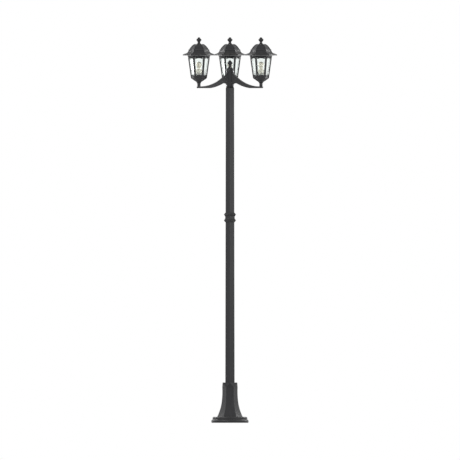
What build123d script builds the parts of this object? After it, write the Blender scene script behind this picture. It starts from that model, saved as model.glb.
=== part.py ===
from build123d import *
from math import cos, radians, sin
import os

# A triple head garden lamp post in cast aluminium, in millimetres. +Z is up and the origin is on the
# post's axis at the ground. The front is -Y: one arm runs to the rear, two run to the front corners.
# Six-sided pieces give their sizes across corners, as radii, unless a name says FLAT.

os.makedirs("parts", exist_ok=True)

# Fits and clearances
SLIP = 0.15  # sockets and sleeves, each side
SCREW_GAP = 0.25  # round a screw, stud or tube in its hole, each side
LIFT_GAP = 0.2  # under a piece that lifts or turns
BULB_GAP = 0.5  # round and under the bulb's cap in its holder

# Foot: a round casting of two tiers, hollow below
FOOT_LOWER_HEIGHT = 19.0
FOOT_UPPER_HEIGHT = 16.7
FOOT_R = 111.5  # where the lower tier bulges most
FOOT_GROUND_INSET = 3.0  # by which the lower tier draws in at the ground
FOOT_STEP_INSET = 6.0  # and at its top
FOOT_SHELF = 1.7  # of the lower tier's top, round the upper tier
FOOT_EDGE_ROUND = 8.0
FOOT_WALL = 7.0
ANCHOR_COUNT = 3
ANCHOR_INSET = 19.8  # from the upper tier's side
ANCHOR_HOLE_R = 4.5
ANCHOR_BOSS_R = 12.0
CABLE_HOLE_R = 14.0

# Column: a flared six-sided casting that turns its corners by 30 degrees in a crown of facets
COLUMN_HEIGHT = 204.6
COLUMN_FOOT_R = 76.4
COLUMN_FLARE_MIDDLE = (58.8, 44.0)
COLUMN_FLARE_END = (49.0, 90.0)
COLUMN_WAIST_R = 45.9
COLUMN_WALL = 6.0
COLUMN_CROWN_HEIGHT = 30.0
COLUMN_CROWN_R = 50.3
SOCKET_DEPTH = 36.0
SOCKET_THROAT_R = 22.0
LUG_RING_R = 48.0
LUG_R = 8.0
LUG_HEIGHT = 20.0
LUG_SCREW_R = 3.0
LUG_SCREW_LENGTH = 20.0
LUG_HOLE_SPARE = 2.0  # past the screw's end
LUG_SCREW_HEAD_R = 5.0
LUG_SCREW_HEAD_HEIGHT = 6.0
SET_SCREW_R = 3.0
SET_SCREW_LENGTH = 12.0
SET_SCREW_DROP = 18.0  # below the column's top

# Terminal block inside the column, on the foot
BLOCK_LENGTH = 38.0
BLOCK_DEPTH = 20.0
BLOCK_HEIGHT = 16.0
BLOCK_ROUND = 2.0
BLOCK_OFFSET = 32.0
BLOCK_WAYS = 3
BLOCK_WELL_R = 3.0
BLOCK_WELL_DEPTH = 8.0

# Pole: two lengths of tapered six-sided tube with a corner to the front
POLE_FOOT_FLAT = 27.6
POLE_HEAD_FLAT = 24.9
POLE_WALL = 3.0
LOWER_POLE_SHOWN = 956.7
UPPER_POLE_SHOWN = 744.3

# Collar: two pointed beads round the joint, with a sleeve inside both tubes
COLLAR_HEIGHT = 55.7
COLLAR_BEAD_HEIGHT = 21.3
COLLAR_BEAD_FLAT = 36.7
COLLAR_EDGE_FLAT = 29.6
COLLAR_NECK_FLAT = 28.4
COLLAR_WEB = 6.0
SLEEVE_REACH = 55.0
SLEEVE_WALL = 3.0

# Pole cap, hub and what closes them
POLE_CAP_HEIGHT = 10.0
POLE_CAP_TOP_FLAT = 20.3
CAP_SPIGOT_DEPTH = 40.0
CAP_SPIGOT_WALL = 4.0
WIRE_HOLE_R = 2.0
WIRE_RING_R = 8.0
HUB_HEIGHT = 94.0
HUB_R = 20.1
HUB_BORE_R = 11.0
HUB_CAP_HEIGHT = 13.0
HUB_CAP_LIP = 4.3
HUB_CAP_R = 21.5
HUB_CAP_TOP_R = 18.5
ROD_R = 4.0
ROD_TAIL = 12.0
ROD_INTO_FINIAL = 20.0
ROD_NUT_FLAT = 6.5
ROD_NUT_HEIGHT = 6.5

# Post finial, from the hub cap up
POST_FINIAL_FOOT_R = 17.5
POST_FINIAL_STEM_R = 8.5
POST_FINIAL_BUD_R = 15.0
POST_FINIAL_FOOT_HEIGHT = 9.0
POST_FINIAL_STEM_HEIGHT = 20.0
POST_FINIAL_BUD_HEIGHT = 31.5
POST_FINIAL_HEIGHT = 49.0

# Arms: flat hollow brackets, bolted to the hub by a flange above and below the web
ARM_REACH = 213.8
ARM_THICKNESS = 12.6
ARM_WALL = 3.2
ARM_TIP_DEPTH = 10.6
FLANGE_THICKNESS = 6.0
FLANGE_WIDTH = 14.0
WEB_TOP_DROP = 14.0  # from the hub's top to the web's, at the flange
WEB_FOOT_RISE = 12.5  # from the hub's foot to the web's
TOP_SWEEP_R = 235.0
TOP_SWEEP_START = 46.0  # distance out, where the small root sweep meets the long one
ROOT_SWEEP_MIDDLE = (32.5, 69.0)
HUMP_TOP = (39.0, 18.4)
HUMP_END = (55.0, 15.0)
UNDER_SWEEP_MIDDLE = (92.0, 0.0)
UNDER_SWEEP_END = 140.0
WIRE_SLOT_FOOT = 30.0
WIRE_SLOT_TOP = 58.0
ARM_SCREW_R = 2.0
ARM_SCREW_LENGTH = 10.5
ARM_SCREW_HEAD_R = 3.5
ARM_SCREW_HEAD_HEIGHT = 2.4
ARM_SCREW_INSET = 5.5  # from the hub's ends

# Arm end: an eye with a recessed nut, and the neck that stands on it
EYE_R = 13.0
EYE_RECESS_R = 9.2
EYE_RECESS_DEPTH = 6.4
TUBE_R = 4.9
TUBE_BORE_R = 3.4
TUBE_NUT_FLAT = 7.0
TUBE_NUT_HEIGHT = 5.0
NECK_HEIGHT = 18.0
NECK_R = 9.7
NECK_COLLAR_HEIGHT = 5.0
NECK_COLLAR_R = 13.2
NECK_COLLAR_CHAMFER = 2.0

# Cup, floor and cage of a lantern
CUP_HEIGHT = 26.0
CUP_FOOT_R = 12.2
CUP_KNEE_R = 20.6
CUP_KNEE_HEIGHT = 7.7
CUP_RIM_R = 47.4
CUP_LIFT = 4.5  # how far the inside lies above the outside
FLOOR_HEIGHT = 18.0
FLOOR_R = 47.4
FLOOR_PLATE = 4.0
FLOOR_WALL = 4.0
DRAIN_R = 2.0
DRAIN_RING_R = 29.0
GLASS_HEIGHT = 105.0
BAR_WIDTH = 12.0
BAR_THICKNESS = 5.5
BAR_FOOT_R = 43.6  # to the middle of the bar, at the cup's rim
BAR_HEAD_R = 60.8  # and under the crown
BAR_EDGE = 0.8
CROWN_HEIGHT = 12.0
CROWN_R = 64.4
CROWN_BEAD_R = 66.6
CROWN_BEAD_HEIGHT = 6.0
CROWN_INNER_R = 60.0
CROWN_LEDGE = 3.0
CROWN_LEDGE_R = 52.0
PANE_THICKNESS = 3.0
PANE_EDGE_GAP = 2.2  # from a pane's edge to the line through the corner
PANE_BEHIND_BAR = 0.5

# Bridge that holds the roof down, and the long bolt through it that the finial screws onto
STRAP_WIDTH = 12.0
STRAP_THICKNESS = 3.0
STRAP_END_GAP = 0.4
STUD_R = 3.0
STUD_HEAD_FLAT = 5.0
STUD_HEAD_HEIGHT = 4.0
STUD_END_GAP = 0.5  # in the finial's hole
STRAP_SCREW_R = 1.8
STRAP_SCREW_HEAD_R = 3.3
STRAP_SCREW_HEAD_HEIGHT = 2.2
STRAP_SCREW_INSET = 4.0

# Roof: one six-sided casting with a swept eave, a bell and a dome, as (radius, height) points
ROOF_HEIGHT = 67.0
ROOF_WALL = 3.5
EAVE_R = 96.0
EAVE_EDGE = 5.5
EAVE_SWEEP_FOOT = (82.0, 9.5)
EAVE_SWEEP_MIDDLE = (67.5, 16.5)
BELL_TOP = (60.8, 29.0)
BEAD_TOP = (60.0, 35.0)
DOME_FOOT = (56.0, 36.2)
DOME_MIDDLE = (47.0, 49.5)
DOME_SHOULDER = (36.5, 60.3)
DOME_TURN = (30.0, 64.9)
DOME_TOP_R = 17.0

# Lantern finial, a knob that screws onto the bridge's stud
KNOB_FOOT_R = 14.5
KNOB_STEM_R = 8.0
KNOB_BUD_R = 14.6
KNOB_FOOT_HEIGHT = 6.5
KNOB_STEM_HEIGHT = 17.0
KNOB_BUD_HEIGHT = 25.5
KNOB_HEIGHT = 41.8
KNOB_THREAD_DEPTH = 17.0

# Lampholder and bulb
HOLDER_HEIGHT = 34.0
HOLDER_R = 20.5
HOLDER_FOOT_R = 14.5
HOLDER_TAPER_HEIGHT = 9.0
HOLDER_RIM_R = 18.5
HOLDER_RIM_HEIGHT = 4.0
HOLDER_FLOOR = 9.0
TUBE_INTO_HOLDER = 7.0
BULB_CAP_R = 13.0
BULB_CAP_HEIGHT = 24.0
BULB_CONTACT_R = 5.0
BULB_CONTACT_HEIGHT = 3.0
BULB_HEAD_R = 17.5
BULB_NECK_R = 11.0
BULB_GLASS_WALL = 1.2
BULB_NECK_HEIGHT = 7.4
BULB_RISE = 29.5  # from the cap's top to the middle of the head

# Heights of the seats, each stacked on the one below
Z_FOOT_STEP = FOOT_LOWER_HEIGHT
Z_COLUMN = Z_FOOT_STEP + FOOT_UPPER_HEIGHT
Z_LOWER_POLE = Z_COLUMN + COLUMN_HEIGHT
Z_COLLAR = Z_LOWER_POLE + LOWER_POLE_SHOWN
Z_UPPER_POLE = Z_COLLAR + COLLAR_HEIGHT
Z_POLE_CAP = Z_UPPER_POLE + UPPER_POLE_SHOWN
Z_HUB = Z_POLE_CAP + POLE_CAP_HEIGHT
Z_HUB_CAP = Z_HUB + HUB_HEIGHT
Z_POST_FINIAL = Z_HUB_CAP + HUB_CAP_HEIGHT
Z_EYE = Z_HUB - ARM_TIP_DEPTH
Z_NECK = Z_HUB
Z_NECK_COLLAR = Z_NECK + NECK_HEIGHT
Z_CUP = Z_NECK_COLLAR + NECK_COLLAR_HEIGHT
Z_FLOOR = Z_CUP + CUP_HEIGHT
Z_HOLDER = Z_FLOOR + FLOOR_HEIGHT
Z_CROWN = Z_HOLDER + GLASS_HEIGHT
Z_STRAP = Z_CROWN + CROWN_LEDGE
Z_ROOF = Z_CROWN + CROWN_HEIGHT + LIFT_GAP
Z_KNOB = Z_ROOF + ROOF_HEIGHT + LIFT_GAP
Z_BULB = Z_HOLDER + HOLDER_FLOOR + BULB_GAP
Z_BULB_GLASS = Z_BULB + BULB_CAP_HEIGHT

SIDES = 6
STEP = 360 / SIDES
FACE_ANGLE = 30  # the azimuth of a face's normal, for a body with a face to the front
CORNER_ANGLE = 0
REAR_ANGLE = 90  # azimuths of the rear and the front
FRONT_ANGLE = -90
FLAT = cos(radians(STEP / 2))  # a hexagon's radius across flats, over that across corners
CUT = 400.0  # longer than any section is wide
SET_SCREW_ANGLES = (60, 120)  # at the rear, so that they push the pole against the socket's front
LIP_SHARE = 0.25  # a finial's lip, as a share of the rise from its foot's sweep to its bud
SWEEP_SHARE = 1.5  # the radius of that sweep, as a share of its height
SHOULDER_SHARE = 0.62  # of a finial's bud, where it turns in to its point
SHOULDER_RISE_SHARE = 0.42  # of the height from the bud's widest to its tip
TIP_SHARE = 0.14  # of the bud
LANTERNS = {"rear": 0, "left": 120, "right": 240}  # turned about the post, from the rear


def flat(point):
    """A section's point on a face, from its point on a corner."""
    radius, height = point
    return radius * FLAT, height


def raised(points, height):
    """Section points moved up by a height."""
    return [(radius, z + height) for radius, z in points]


def outward(azimuth):
    """The level direction at an azimuth."""
    return Vector(cos(radians(azimuth)), sin(radians(azimuth)), 0)


def six_sided(section, first_normal):
    """Pull a mirrored section through in three directions, 60 degrees apart, and keep what they share."""
    with BuildPart() as body:
        for turn in range(SIDES // 2):
            azimuth = first_normal + STEP * turn
            with BuildSketch(Plane((0, 0, 0), outward(azimuth), outward(azimuth + FRONT_ANGLE))):
                add(section)
            extrude(amount=CUT, both=True, mode=Mode.ADD if turn == 0 else Mode.INTERSECT)
    return body.part


def hexagon_at(height, radius_flat, first_normal):
    """A hexagon at a height, by its radius across flats."""
    with BuildSketch(Plane.XY.offset(height)) as outline:
        RegularPolygon(radius_flat, SIDES, major_radius=False, rotation=first_normal + STEP / 2)
    return outline.sketch


def hexagonal_prism(foot, head, foot_flat, head_flat, first_normal):
    """A straight or tapered six-sided bar between two heights."""
    with BuildPart() as bar:
        add(hexagon_at(foot, foot_flat, first_normal))
        add(hexagon_at(head, head_flat, first_normal))
        loft(ruled=True)
    return bar.part


def rod(foot, head, radius):
    """A round bar on the axis between two heights."""
    with BuildPart() as bar:
        with BuildSketch(Plane.XY.offset(foot)):
            Circle(radius)
        extrude(amount=head - foot)
    return bar.part


def screw(shank_r, length, head_r, head_height):
    """A screw that points down, with its head's seat at the origin."""
    with BuildPart() as body:
        with BuildSketch(Plane.XY.offset(-length)):
            Circle(shank_r)
        extrude(amount=length)
        with BuildSketch():
            Circle(head_r)
        extrude(amount=head_height)
    return body.part


def pole_flat(height):
    """The pole's radius across flats at a height."""
    share = (height - Z_LOWER_POLE) / (Z_POLE_CAP - Z_LOWER_POLE)
    return POLE_FOOT_FLAT + share * (POLE_HEAD_FLAT - POLE_FOOT_FLAT)


def pole_length(foot, head):
    """A length of the tapered tube."""
    with BuildPart() as tube:
        add(hexagonal_prism(foot, head, pole_flat(foot), pole_flat(head), CORNER_ANGLE))
        foot_bore, head_bore = pole_flat(foot) - POLE_WALL, pole_flat(head) - POLE_WALL
        add(hexagonal_prism(foot, head, foot_bore, head_bore, CORNER_ANGLE), mode=Mode.SUBTRACT)
    return tube.part


def finial(seat, foot_r, stem_r, bud_r, foot_height, stem_height, bud_height, height, hole_r, hole_depth):
    """A turned knob: a hollow foot sweep, a short stem, and a bud drawn up to a point."""
    with BuildPart() as knob:
        with BuildSketch(Plane.XZ):
            with BuildLine():
                lip = Line((foot_r, seat), (foot_r, seat + (stem_height - foot_height) * LIP_SHARE))
                sweep_end = (stem_r, seat + foot_height)
                RadiusArc(lip @ 1, sweep_end, foot_height * SWEEP_SHARE)
                stem = Line(sweep_end, (stem_r, seat + stem_height))
                belly = RadiusArc(stem @ 1, (bud_r, seat + bud_height), -(bud_height - stem_height))
                shoulder_height = bud_height + (height - bud_height) * SHOULDER_RISE_SHARE
                shoulder = RadiusArc(belly @ 1, (bud_r * SHOULDER_SHARE, seat + shoulder_height), -bud_r)
                tip = Line(shoulder @ 1, (bud_r * TIP_SHARE, seat + height))
                Polyline(tip @ 1, (0, seat + height), (0, seat), lip @ 0)
            make_face()
        revolve(axis=Axis.Z)
        with BuildSketch(Plane.XY.offset(seat)):
            Circle(hole_r)
        extrude(amount=hole_depth, mode=Mode.SUBTRACT)
    return knob.part


def keep(part, name):
    """Label a finished piece and write its file."""
    part.label = name
    export_step(part, f"parts/{name}.step")


# --- Foot ---------------------------------------------------------------------------------------

foot_step_r = FOOT_R - FOOT_STEP_INSET
foot_upper_r = foot_step_r - FOOT_SHELF
anchor_ring_r = foot_upper_r - ANCHOR_INSET

with BuildPart() as foot:
    with BuildSketch(Plane.XZ):
        with BuildLine():
            ground, bulge = (FOOT_R - FOOT_GROUND_INSET, 0), (FOOT_R, FOOT_LOWER_HEIGHT / 2)
            edge = ThreePointArc(ground, bulge, (foot_step_r, Z_FOOT_STEP))
            shelf = Line(edge @ 1, (foot_upper_r, Z_FOOT_STEP))
            Polyline(shelf @ 1, (foot_upper_r, Z_COLUMN), (0, Z_COLUMN), (0, 0), edge @ 0)
        make_face()
    revolve(axis=Axis.Z)
    fillet(foot.edges().filter_by(GeomType.CIRCLE).group_by(Axis.Z)[-1], FOOT_EDGE_ROUND)
    with BuildSketch():
        Circle(foot_upper_r - FOOT_WALL)
    extrude(amount=Z_COLUMN - FOOT_WALL, mode=Mode.SUBTRACT)
    with BuildSketch():
        with PolarLocations(anchor_ring_r, ANCHOR_COUNT, start_angle=REAR_ANGLE):
            Circle(ANCHOR_BOSS_R)
    extrude(amount=Z_COLUMN - FOOT_WALL / 2)
    with BuildSketch():
        Circle(CABLE_HOLE_R)
        with PolarLocations(anchor_ring_r, ANCHOR_COUNT, start_angle=REAR_ANGLE):
            Circle(ANCHOR_HOLE_R)
        with PolarLocations(LUG_RING_R, ANCHOR_COUNT, start_angle=FRONT_ANGLE):
            Circle(LUG_SCREW_R + SCREW_GAP)
    extrude(amount=Z_COLUMN, mode=Mode.SUBTRACT)
keep(foot.part, "foot")

# --- Column -------------------------------------------------------------------------------------


def column_section(inset, top):
    """The flared half section and its mirror, drawn in by a wall, up to a height."""
    with BuildSketch() as section:
        with BuildLine():
            points = [(COLUMN_FOOT_R, 0), COLUMN_FLARE_MIDDLE, COLUMN_FLARE_END]
            foot_point, middle, end = [(r - inset, z + Z_COLUMN) for r, z in map(flat, points)]
            flare = ThreePointArc(foot_point, middle, end)
            waist = TangentArc(flare @ 1, (COLUMN_WAIST_R * FLAT - inset, top), tangent=flare % 1)
            Polyline(waist @ 1, (0, top), (0, Z_COLUMN), flare @ 0)
        make_face()
        mirror(about=Plane.YZ)
    return section.sketch


Z_VALLEY = Z_LOWER_POLE - COLUMN_CROWN_HEIGHT
Z_SOCKET = Z_LOWER_POLE - SOCKET_DEPTH
Z_SET_SCREW = Z_LOWER_POLE - SET_SCREW_DROP
column_corner = COLUMN_WAIST_R * FLAT

with BuildPart() as crown_facets:
    add(hexagonal_prism(Z_VALLEY, Z_LOWER_POLE, column_corner, COLUMN_CROWN_R, FACE_ANGLE))
    turned = hexagonal_prism(Z_VALLEY, Z_LOWER_POLE, COLUMN_WAIST_R, COLUMN_CROWN_R * FLAT, CORNER_ANGLE)
    add(turned, mode=Mode.INTERSECT)

with BuildPart() as column:
    add(six_sided(column_section(0, Z_VALLEY), FACE_ANGLE))
    add(six_sided(column_section(COLUMN_WALL, Z_SOCKET - COLUMN_WALL), FACE_ANGLE), mode=Mode.SUBTRACT)
    add(crown_facets.part)
    with BuildSketch(Plane.XY.offset(Z_COLUMN)):
        with PolarLocations(LUG_RING_R, ANCHOR_COUNT, start_angle=FRONT_ANGLE):
            Circle(LUG_R)
    extrude(amount=LUG_HEIGHT)
    with BuildSketch(Plane.XY.offset(Z_COLUMN)):
        with PolarLocations(LUG_RING_R, ANCHOR_COUNT, start_angle=FRONT_ANGLE):
            Circle(LUG_SCREW_R + SCREW_GAP)
    extrude(amount=LUG_SCREW_LENGTH - FOOT_WALL + LUG_HOLE_SPARE, mode=Mode.SUBTRACT)
    socket_flat = pole_flat(Z_SOCKET) + SLIP
    add(hexagonal_prism(Z_SOCKET, Z_LOWER_POLE, socket_flat, socket_flat, CORNER_ANGLE), mode=Mode.SUBTRACT)
    add(rod(Z_COLUMN + LUG_HEIGHT, Z_SOCKET, SOCKET_THROAT_R), mode=Mode.SUBTRACT)
    for azimuth in SET_SCREW_ANGLES:
        with BuildSketch(Plane((0, 0, Z_SET_SCREW), z_dir=outward(azimuth))):
            Circle(SET_SCREW_R + SCREW_GAP)
        extrude(amount=COLUMN_FOOT_R, mode=Mode.SUBTRACT)
keep(column.part, "column")

with BuildPart() as column_screws:
    lug_screw = screw(LUG_SCREW_R, LUG_SCREW_LENGTH, LUG_SCREW_HEAD_R, LUG_SCREW_HEAD_HEIGHT)
    with PolarLocations(LUG_RING_R, ANCHOR_COUNT, start_angle=FRONT_ANGLE):
        add(Location((0, 0, Z_COLUMN - FOOT_WALL), (180, 0, 0)) * lug_screw)
keep(column_screws.part, "column_screws")

with BuildPart() as pole_set_screws:
    for azimuth in SET_SCREW_ANGLES:
        tip = outward(azimuth) * (pole_flat(Z_SET_SCREW) + SLIP) + Vector(0, 0, Z_SET_SCREW)
        with BuildSketch(Plane(tip, z_dir=outward(azimuth))):
            Circle(SET_SCREW_R)
        extrude(amount=SET_SCREW_LENGTH)
keep(pole_set_screws.part, "pole_set_screws")

# --- Terminal block -----------------------------------------------------------------------------

with BuildPart() as terminal_block:
    with BuildSketch(Plane.XY.offset(Z_COLUMN)):
        with Locations((0, BLOCK_OFFSET)):
            Rectangle(BLOCK_LENGTH, BLOCK_DEPTH)
    extrude(amount=BLOCK_HEIGHT)
    fillet(terminal_block.edges().filter_by(Axis.Z), BLOCK_ROUND)
    with BuildSketch(Plane.XY.offset(Z_COLUMN + BLOCK_HEIGHT)):
        with Locations((0, BLOCK_OFFSET)):
            with GridLocations(BLOCK_LENGTH / BLOCK_WAYS, BLOCK_DEPTH / 2, BLOCK_WAYS, 2):
                Circle(BLOCK_WELL_R)
    extrude(amount=-BLOCK_WELL_DEPTH, mode=Mode.SUBTRACT)
keep(terminal_block.part, "terminal_block")

# --- Pole and collar ----------------------------------------------------------------------------

Z_WEB = Z_COLLAR + (COLLAR_HEIGHT - COLLAR_WEB) / 2
Z_WEB_TOP = Z_WEB + COLLAR_WEB

keep(pole_length(Z_SOCKET, Z_WEB), "pole_lower")
keep(pole_length(Z_WEB_TOP, Z_POLE_CAP), "pole_upper")


def bead(foot):
    """The outline of one pointed bead of the collar, from its foot up."""
    apex = (COLLAR_BEAD_FLAT, foot + COLLAR_BEAD_HEIGHT / 2)
    under = RadiusArc((COLLAR_EDGE_FLAT, foot), apex, COLLAR_BEAD_HEIGHT)
    over = RadiusArc(under @ 1, (COLLAR_EDGE_FLAT, foot + COLLAR_BEAD_HEIGHT), COLLAR_BEAD_HEIGHT)
    return under, over


with BuildSketch() as collar_section:
    with BuildLine():
        lower = bead(Z_COLLAR)
        upper = bead(Z_UPPER_POLE - COLLAR_BEAD_HEIGHT)
        neck_foot = (COLLAR_NECK_FLAT, Z_COLLAR + COLLAR_BEAD_HEIGHT)
        neck_head = (COLLAR_NECK_FLAT, Z_UPPER_POLE - COLLAR_BEAD_HEIGHT)
        Polyline(lower[1] @ 1, neck_foot, neck_head, upper[0] @ 0)
        Polyline(upper[1] @ 1, (0, Z_UPPER_POLE), (0, Z_COLLAR), lower[0] @ 0)
    make_face()
    mirror(about=Plane.YZ)

collar_flat = pole_flat(Z_COLLAR) + SLIP
sleeve_flat = pole_flat(Z_WEB_TOP + SLEEVE_REACH) - POLE_WALL - SLIP

with BuildPart() as collar:
    add(six_sided(collar_section.sketch, CORNER_ANGLE))
    add(hexagonal_prism(Z_COLLAR, Z_WEB, collar_flat, collar_flat, CORNER_ANGLE), mode=Mode.SUBTRACT)
    add(hexagonal_prism(Z_WEB_TOP, Z_UPPER_POLE, collar_flat, collar_flat, CORNER_ANGLE), mode=Mode.SUBTRACT)
    z_sleeve, z_sleeve_top = Z_WEB - SLEEVE_REACH, Z_WEB_TOP + SLEEVE_REACH
    add(hexagonal_prism(z_sleeve, z_sleeve_top, sleeve_flat, sleeve_flat, CORNER_ANGLE))
    add(rod(z_sleeve, z_sleeve_top, sleeve_flat - SLEEVE_WALL), mode=Mode.SUBTRACT)
keep(collar.part, "collar")

# --- Pole cap, hub, tie rod and post finial -----------------------------------------------------

with BuildPart() as pole_cap:
    add(hexagonal_prism(Z_POLE_CAP, Z_HUB, pole_flat(Z_POLE_CAP), POLE_CAP_TOP_FLAT, CORNER_ANGLE))
    spigot_flat = POLE_HEAD_FLAT - POLE_WALL - SLIP
    add(hexagonal_prism(Z_POLE_CAP - CAP_SPIGOT_DEPTH, Z_POLE_CAP, spigot_flat, spigot_flat, CORNER_ANGLE))
    add(rod(Z_POLE_CAP - CAP_SPIGOT_DEPTH, Z_POLE_CAP, spigot_flat - CAP_SPIGOT_WALL), mode=Mode.SUBTRACT)
    with BuildSketch(Plane.XY.offset(Z_POLE_CAP)):
        Circle(ROD_R + SCREW_GAP)
        with PolarLocations(WIRE_RING_R, len(LANTERNS), start_angle=REAR_ANGLE):
            Circle(WIRE_HOLE_R)
    extrude(amount=POLE_CAP_HEIGHT, mode=Mode.SUBTRACT)
keep(pole_cap.part, "pole_cap")

Z_WIRE_SLOT = Z_HUB + (WIRE_SLOT_FOOT + WIRE_SLOT_TOP) / 2
hub_flat = HUB_R * FLAT
arm_screw_heights = (Z_HUB + ARM_SCREW_INSET, Z_HUB_CAP - ARM_SCREW_INSET)

with BuildPart() as hub:
    add(hexagonal_prism(Z_HUB, Z_HUB_CAP, hub_flat, hub_flat, FACE_ANGLE))
    add(rod(Z_HUB, Z_HUB_CAP, HUB_BORE_R), mode=Mode.SUBTRACT)
    for turn in LANTERNS.values():
        towards_arm = outward(REAR_ANGLE + turn)
        for height in arm_screw_heights:
            with BuildSketch(Plane((0, 0, height), z_dir=towards_arm)):
                Circle(ARM_SCREW_R + SCREW_GAP)
            extrude(amount=HUB_R, mode=Mode.SUBTRACT)
        with BuildSketch(Plane((0, 0, Z_WIRE_SLOT), x_dir=outward(turn), z_dir=towards_arm)):
            Rectangle(ARM_THICKNESS - 2 * ARM_WALL, WIRE_SLOT_TOP - WIRE_SLOT_FOOT)
        extrude(amount=HUB_R, mode=Mode.SUBTRACT)
keep(hub.part, "hub")

with BuildPart() as hub_cap:
    with BuildSketch(Plane.XZ):
        with BuildLine():
            lip_top = (HUB_CAP_R, Z_HUB_CAP + HUB_CAP_LIP)
            Polyline((0, Z_HUB_CAP), (HUB_CAP_R, Z_HUB_CAP), lip_top)
            RadiusArc(lip_top, (HUB_CAP_TOP_R, Z_POST_FINIAL), -HUB_CAP_HEIGHT)
            Polyline((HUB_CAP_TOP_R, Z_POST_FINIAL), (0, Z_POST_FINIAL), (0, Z_HUB_CAP))
        make_face()
    revolve(axis=Axis.Z)
    with BuildSketch(Plane.XY.offset(Z_HUB_CAP)):
        Circle(ROD_R + SCREW_GAP)
    extrude(amount=HUB_CAP_HEIGHT, mode=Mode.SUBTRACT)
keep(hub_cap.part, "hub_cap")

z_rod_top = Z_POST_FINIAL + ROD_INTO_FINIAL
keep(rod(Z_POLE_CAP - ROD_TAIL, z_rod_top, ROD_R), "tie_rod")

with BuildPart() as tie_rod_nut:
    add(hexagonal_prism(Z_POLE_CAP - ROD_NUT_HEIGHT, Z_POLE_CAP, ROD_NUT_FLAT, ROD_NUT_FLAT, FACE_ANGLE))
    add(rod(Z_POLE_CAP - ROD_NUT_HEIGHT, Z_POLE_CAP, ROD_R + SLIP), mode=Mode.SUBTRACT)
keep(tie_rod_nut.part, "tie_rod_nut")

post_finial = finial(
    Z_POST_FINIAL,
    POST_FINIAL_FOOT_R,
    POST_FINIAL_STEM_R,
    POST_FINIAL_BUD_R,
    POST_FINIAL_FOOT_HEIGHT,
    POST_FINIAL_STEM_HEIGHT,
    POST_FINIAL_BUD_HEIGHT,
    POST_FINIAL_HEIGHT,
    ROD_R + SLIP,
    ROD_INTO_FINIAL + SLIP,
)
keep(post_finial, "post_finial")

# --- Arm, modelled to the rear ------------------------------------------------------------------


def rise(point):
    """A point of the arm's side view, from its height over the hub's foot."""
    distance, height = point
    return distance, height + Z_HUB


FLANGE_FACE = hub_flat + FLANGE_THICKNESS
SIDE_VIEW = Plane((0, 0, 0), x_dir=(0, 1, 0), z_dir=(1, 0, 0))

sweep_rise = TOP_SWEEP_R - (TOP_SWEEP_R**2 - (ARM_REACH - EYE_R - TOP_SWEEP_START) ** 2) ** 0.5

with BuildSketch() as web:
    with BuildLine():
        web_top = (FLANGE_FACE, HUB_HEIGHT - WEB_TOP_DROP)
        top = ThreePointArc(rise(web_top), rise(ROOT_SWEEP_MIDDLE), rise((TOP_SWEEP_START, sweep_rise)))
        long_sweep = RadiusArc(top @ 1, rise((ARM_REACH - EYE_R, 0)), -TOP_SWEEP_R)
        under_end = rise((UNDER_SWEEP_END, -ARM_TIP_DEPTH))
        Polyline(long_sweep @ 1, rise((ARM_REACH, 0)), rise((ARM_REACH, -ARM_TIP_DEPTH)), under_end)
        under = ThreePointArc(under_end, rise(UNDER_SWEEP_MIDDLE), rise(HUMP_END))
        hump = ThreePointArc(under @ 1, rise(HUMP_TOP), rise((FLANGE_FACE, WEB_FOOT_RISE)))
        Line(hump @ 1, top @ 0)
    make_face()

with BuildSketch() as channel:
    add(web.sketch)
    offset(amount=-ARM_WALL, kind=Kind.INTERSECTION)
    with Locations(((hub_flat + FLANGE_FACE + ARM_WALL) / 2, Z_WIRE_SLOT)):
        Rectangle(FLANGE_THICKNESS + ARM_WALL * 2, WIRE_SLOT_TOP - WIRE_SLOT_FOOT)

with BuildPart() as arm:
    with BuildSketch(SIDE_VIEW):
        add(web.sketch)
    extrude(amount=ARM_THICKNESS / 2, both=True)
    with BuildSketch(SIDE_VIEW):
        with Locations(((hub_flat + FLANGE_FACE) / 2, Z_HUB + HUB_HEIGHT / 2)):
            Rectangle(FLANGE_THICKNESS, HUB_HEIGHT)
    extrude(amount=FLANGE_WIDTH / 2, both=True)
    with BuildSketch(Plane.XY.offset(Z_EYE)):
        with Locations((0, ARM_REACH)):
            Circle(EYE_R)
    extrude(amount=ARM_TIP_DEPTH)
    with BuildSketch(SIDE_VIEW):
        add(channel.sketch)
    extrude(amount=ARM_THICKNESS / 2 - ARM_WALL, both=True, mode=Mode.SUBTRACT)
    with BuildSketch(Plane.XY.offset(Z_EYE)):
        with Locations((0, ARM_REACH)):
            Circle(TUBE_R + SCREW_GAP)
    extrude(amount=ARM_TIP_DEPTH, mode=Mode.SUBTRACT)
    with BuildSketch(Plane.XY.offset(Z_EYE)):
        with Locations((0, ARM_REACH)):
            Circle(EYE_RECESS_R)
    extrude(amount=EYE_RECESS_DEPTH, mode=Mode.SUBTRACT)
    for height in arm_screw_heights:
        with BuildSketch(Plane((0, 0, height), z_dir=(0, 1, 0))):
            Circle(ARM_SCREW_R + SCREW_GAP)
        extrude(amount=FLANGE_FACE, mode=Mode.SUBTRACT)

arm_screw = screw(ARM_SCREW_R, ARM_SCREW_LENGTH, ARM_SCREW_HEAD_R, ARM_SCREW_HEAD_HEIGHT)
with BuildPart() as arm_screws:
    for turn in LANTERNS.values():
        for height in arm_screw_heights:
            add(Rot(0, 0, turn) * Location((0, FLANGE_FACE, height), (-90, 0, 0)) * arm_screw)
keep(arm_screws.part, "arm_screws")

# --- Lantern, modelled on the axis --------------------------------------------------------------

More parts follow.
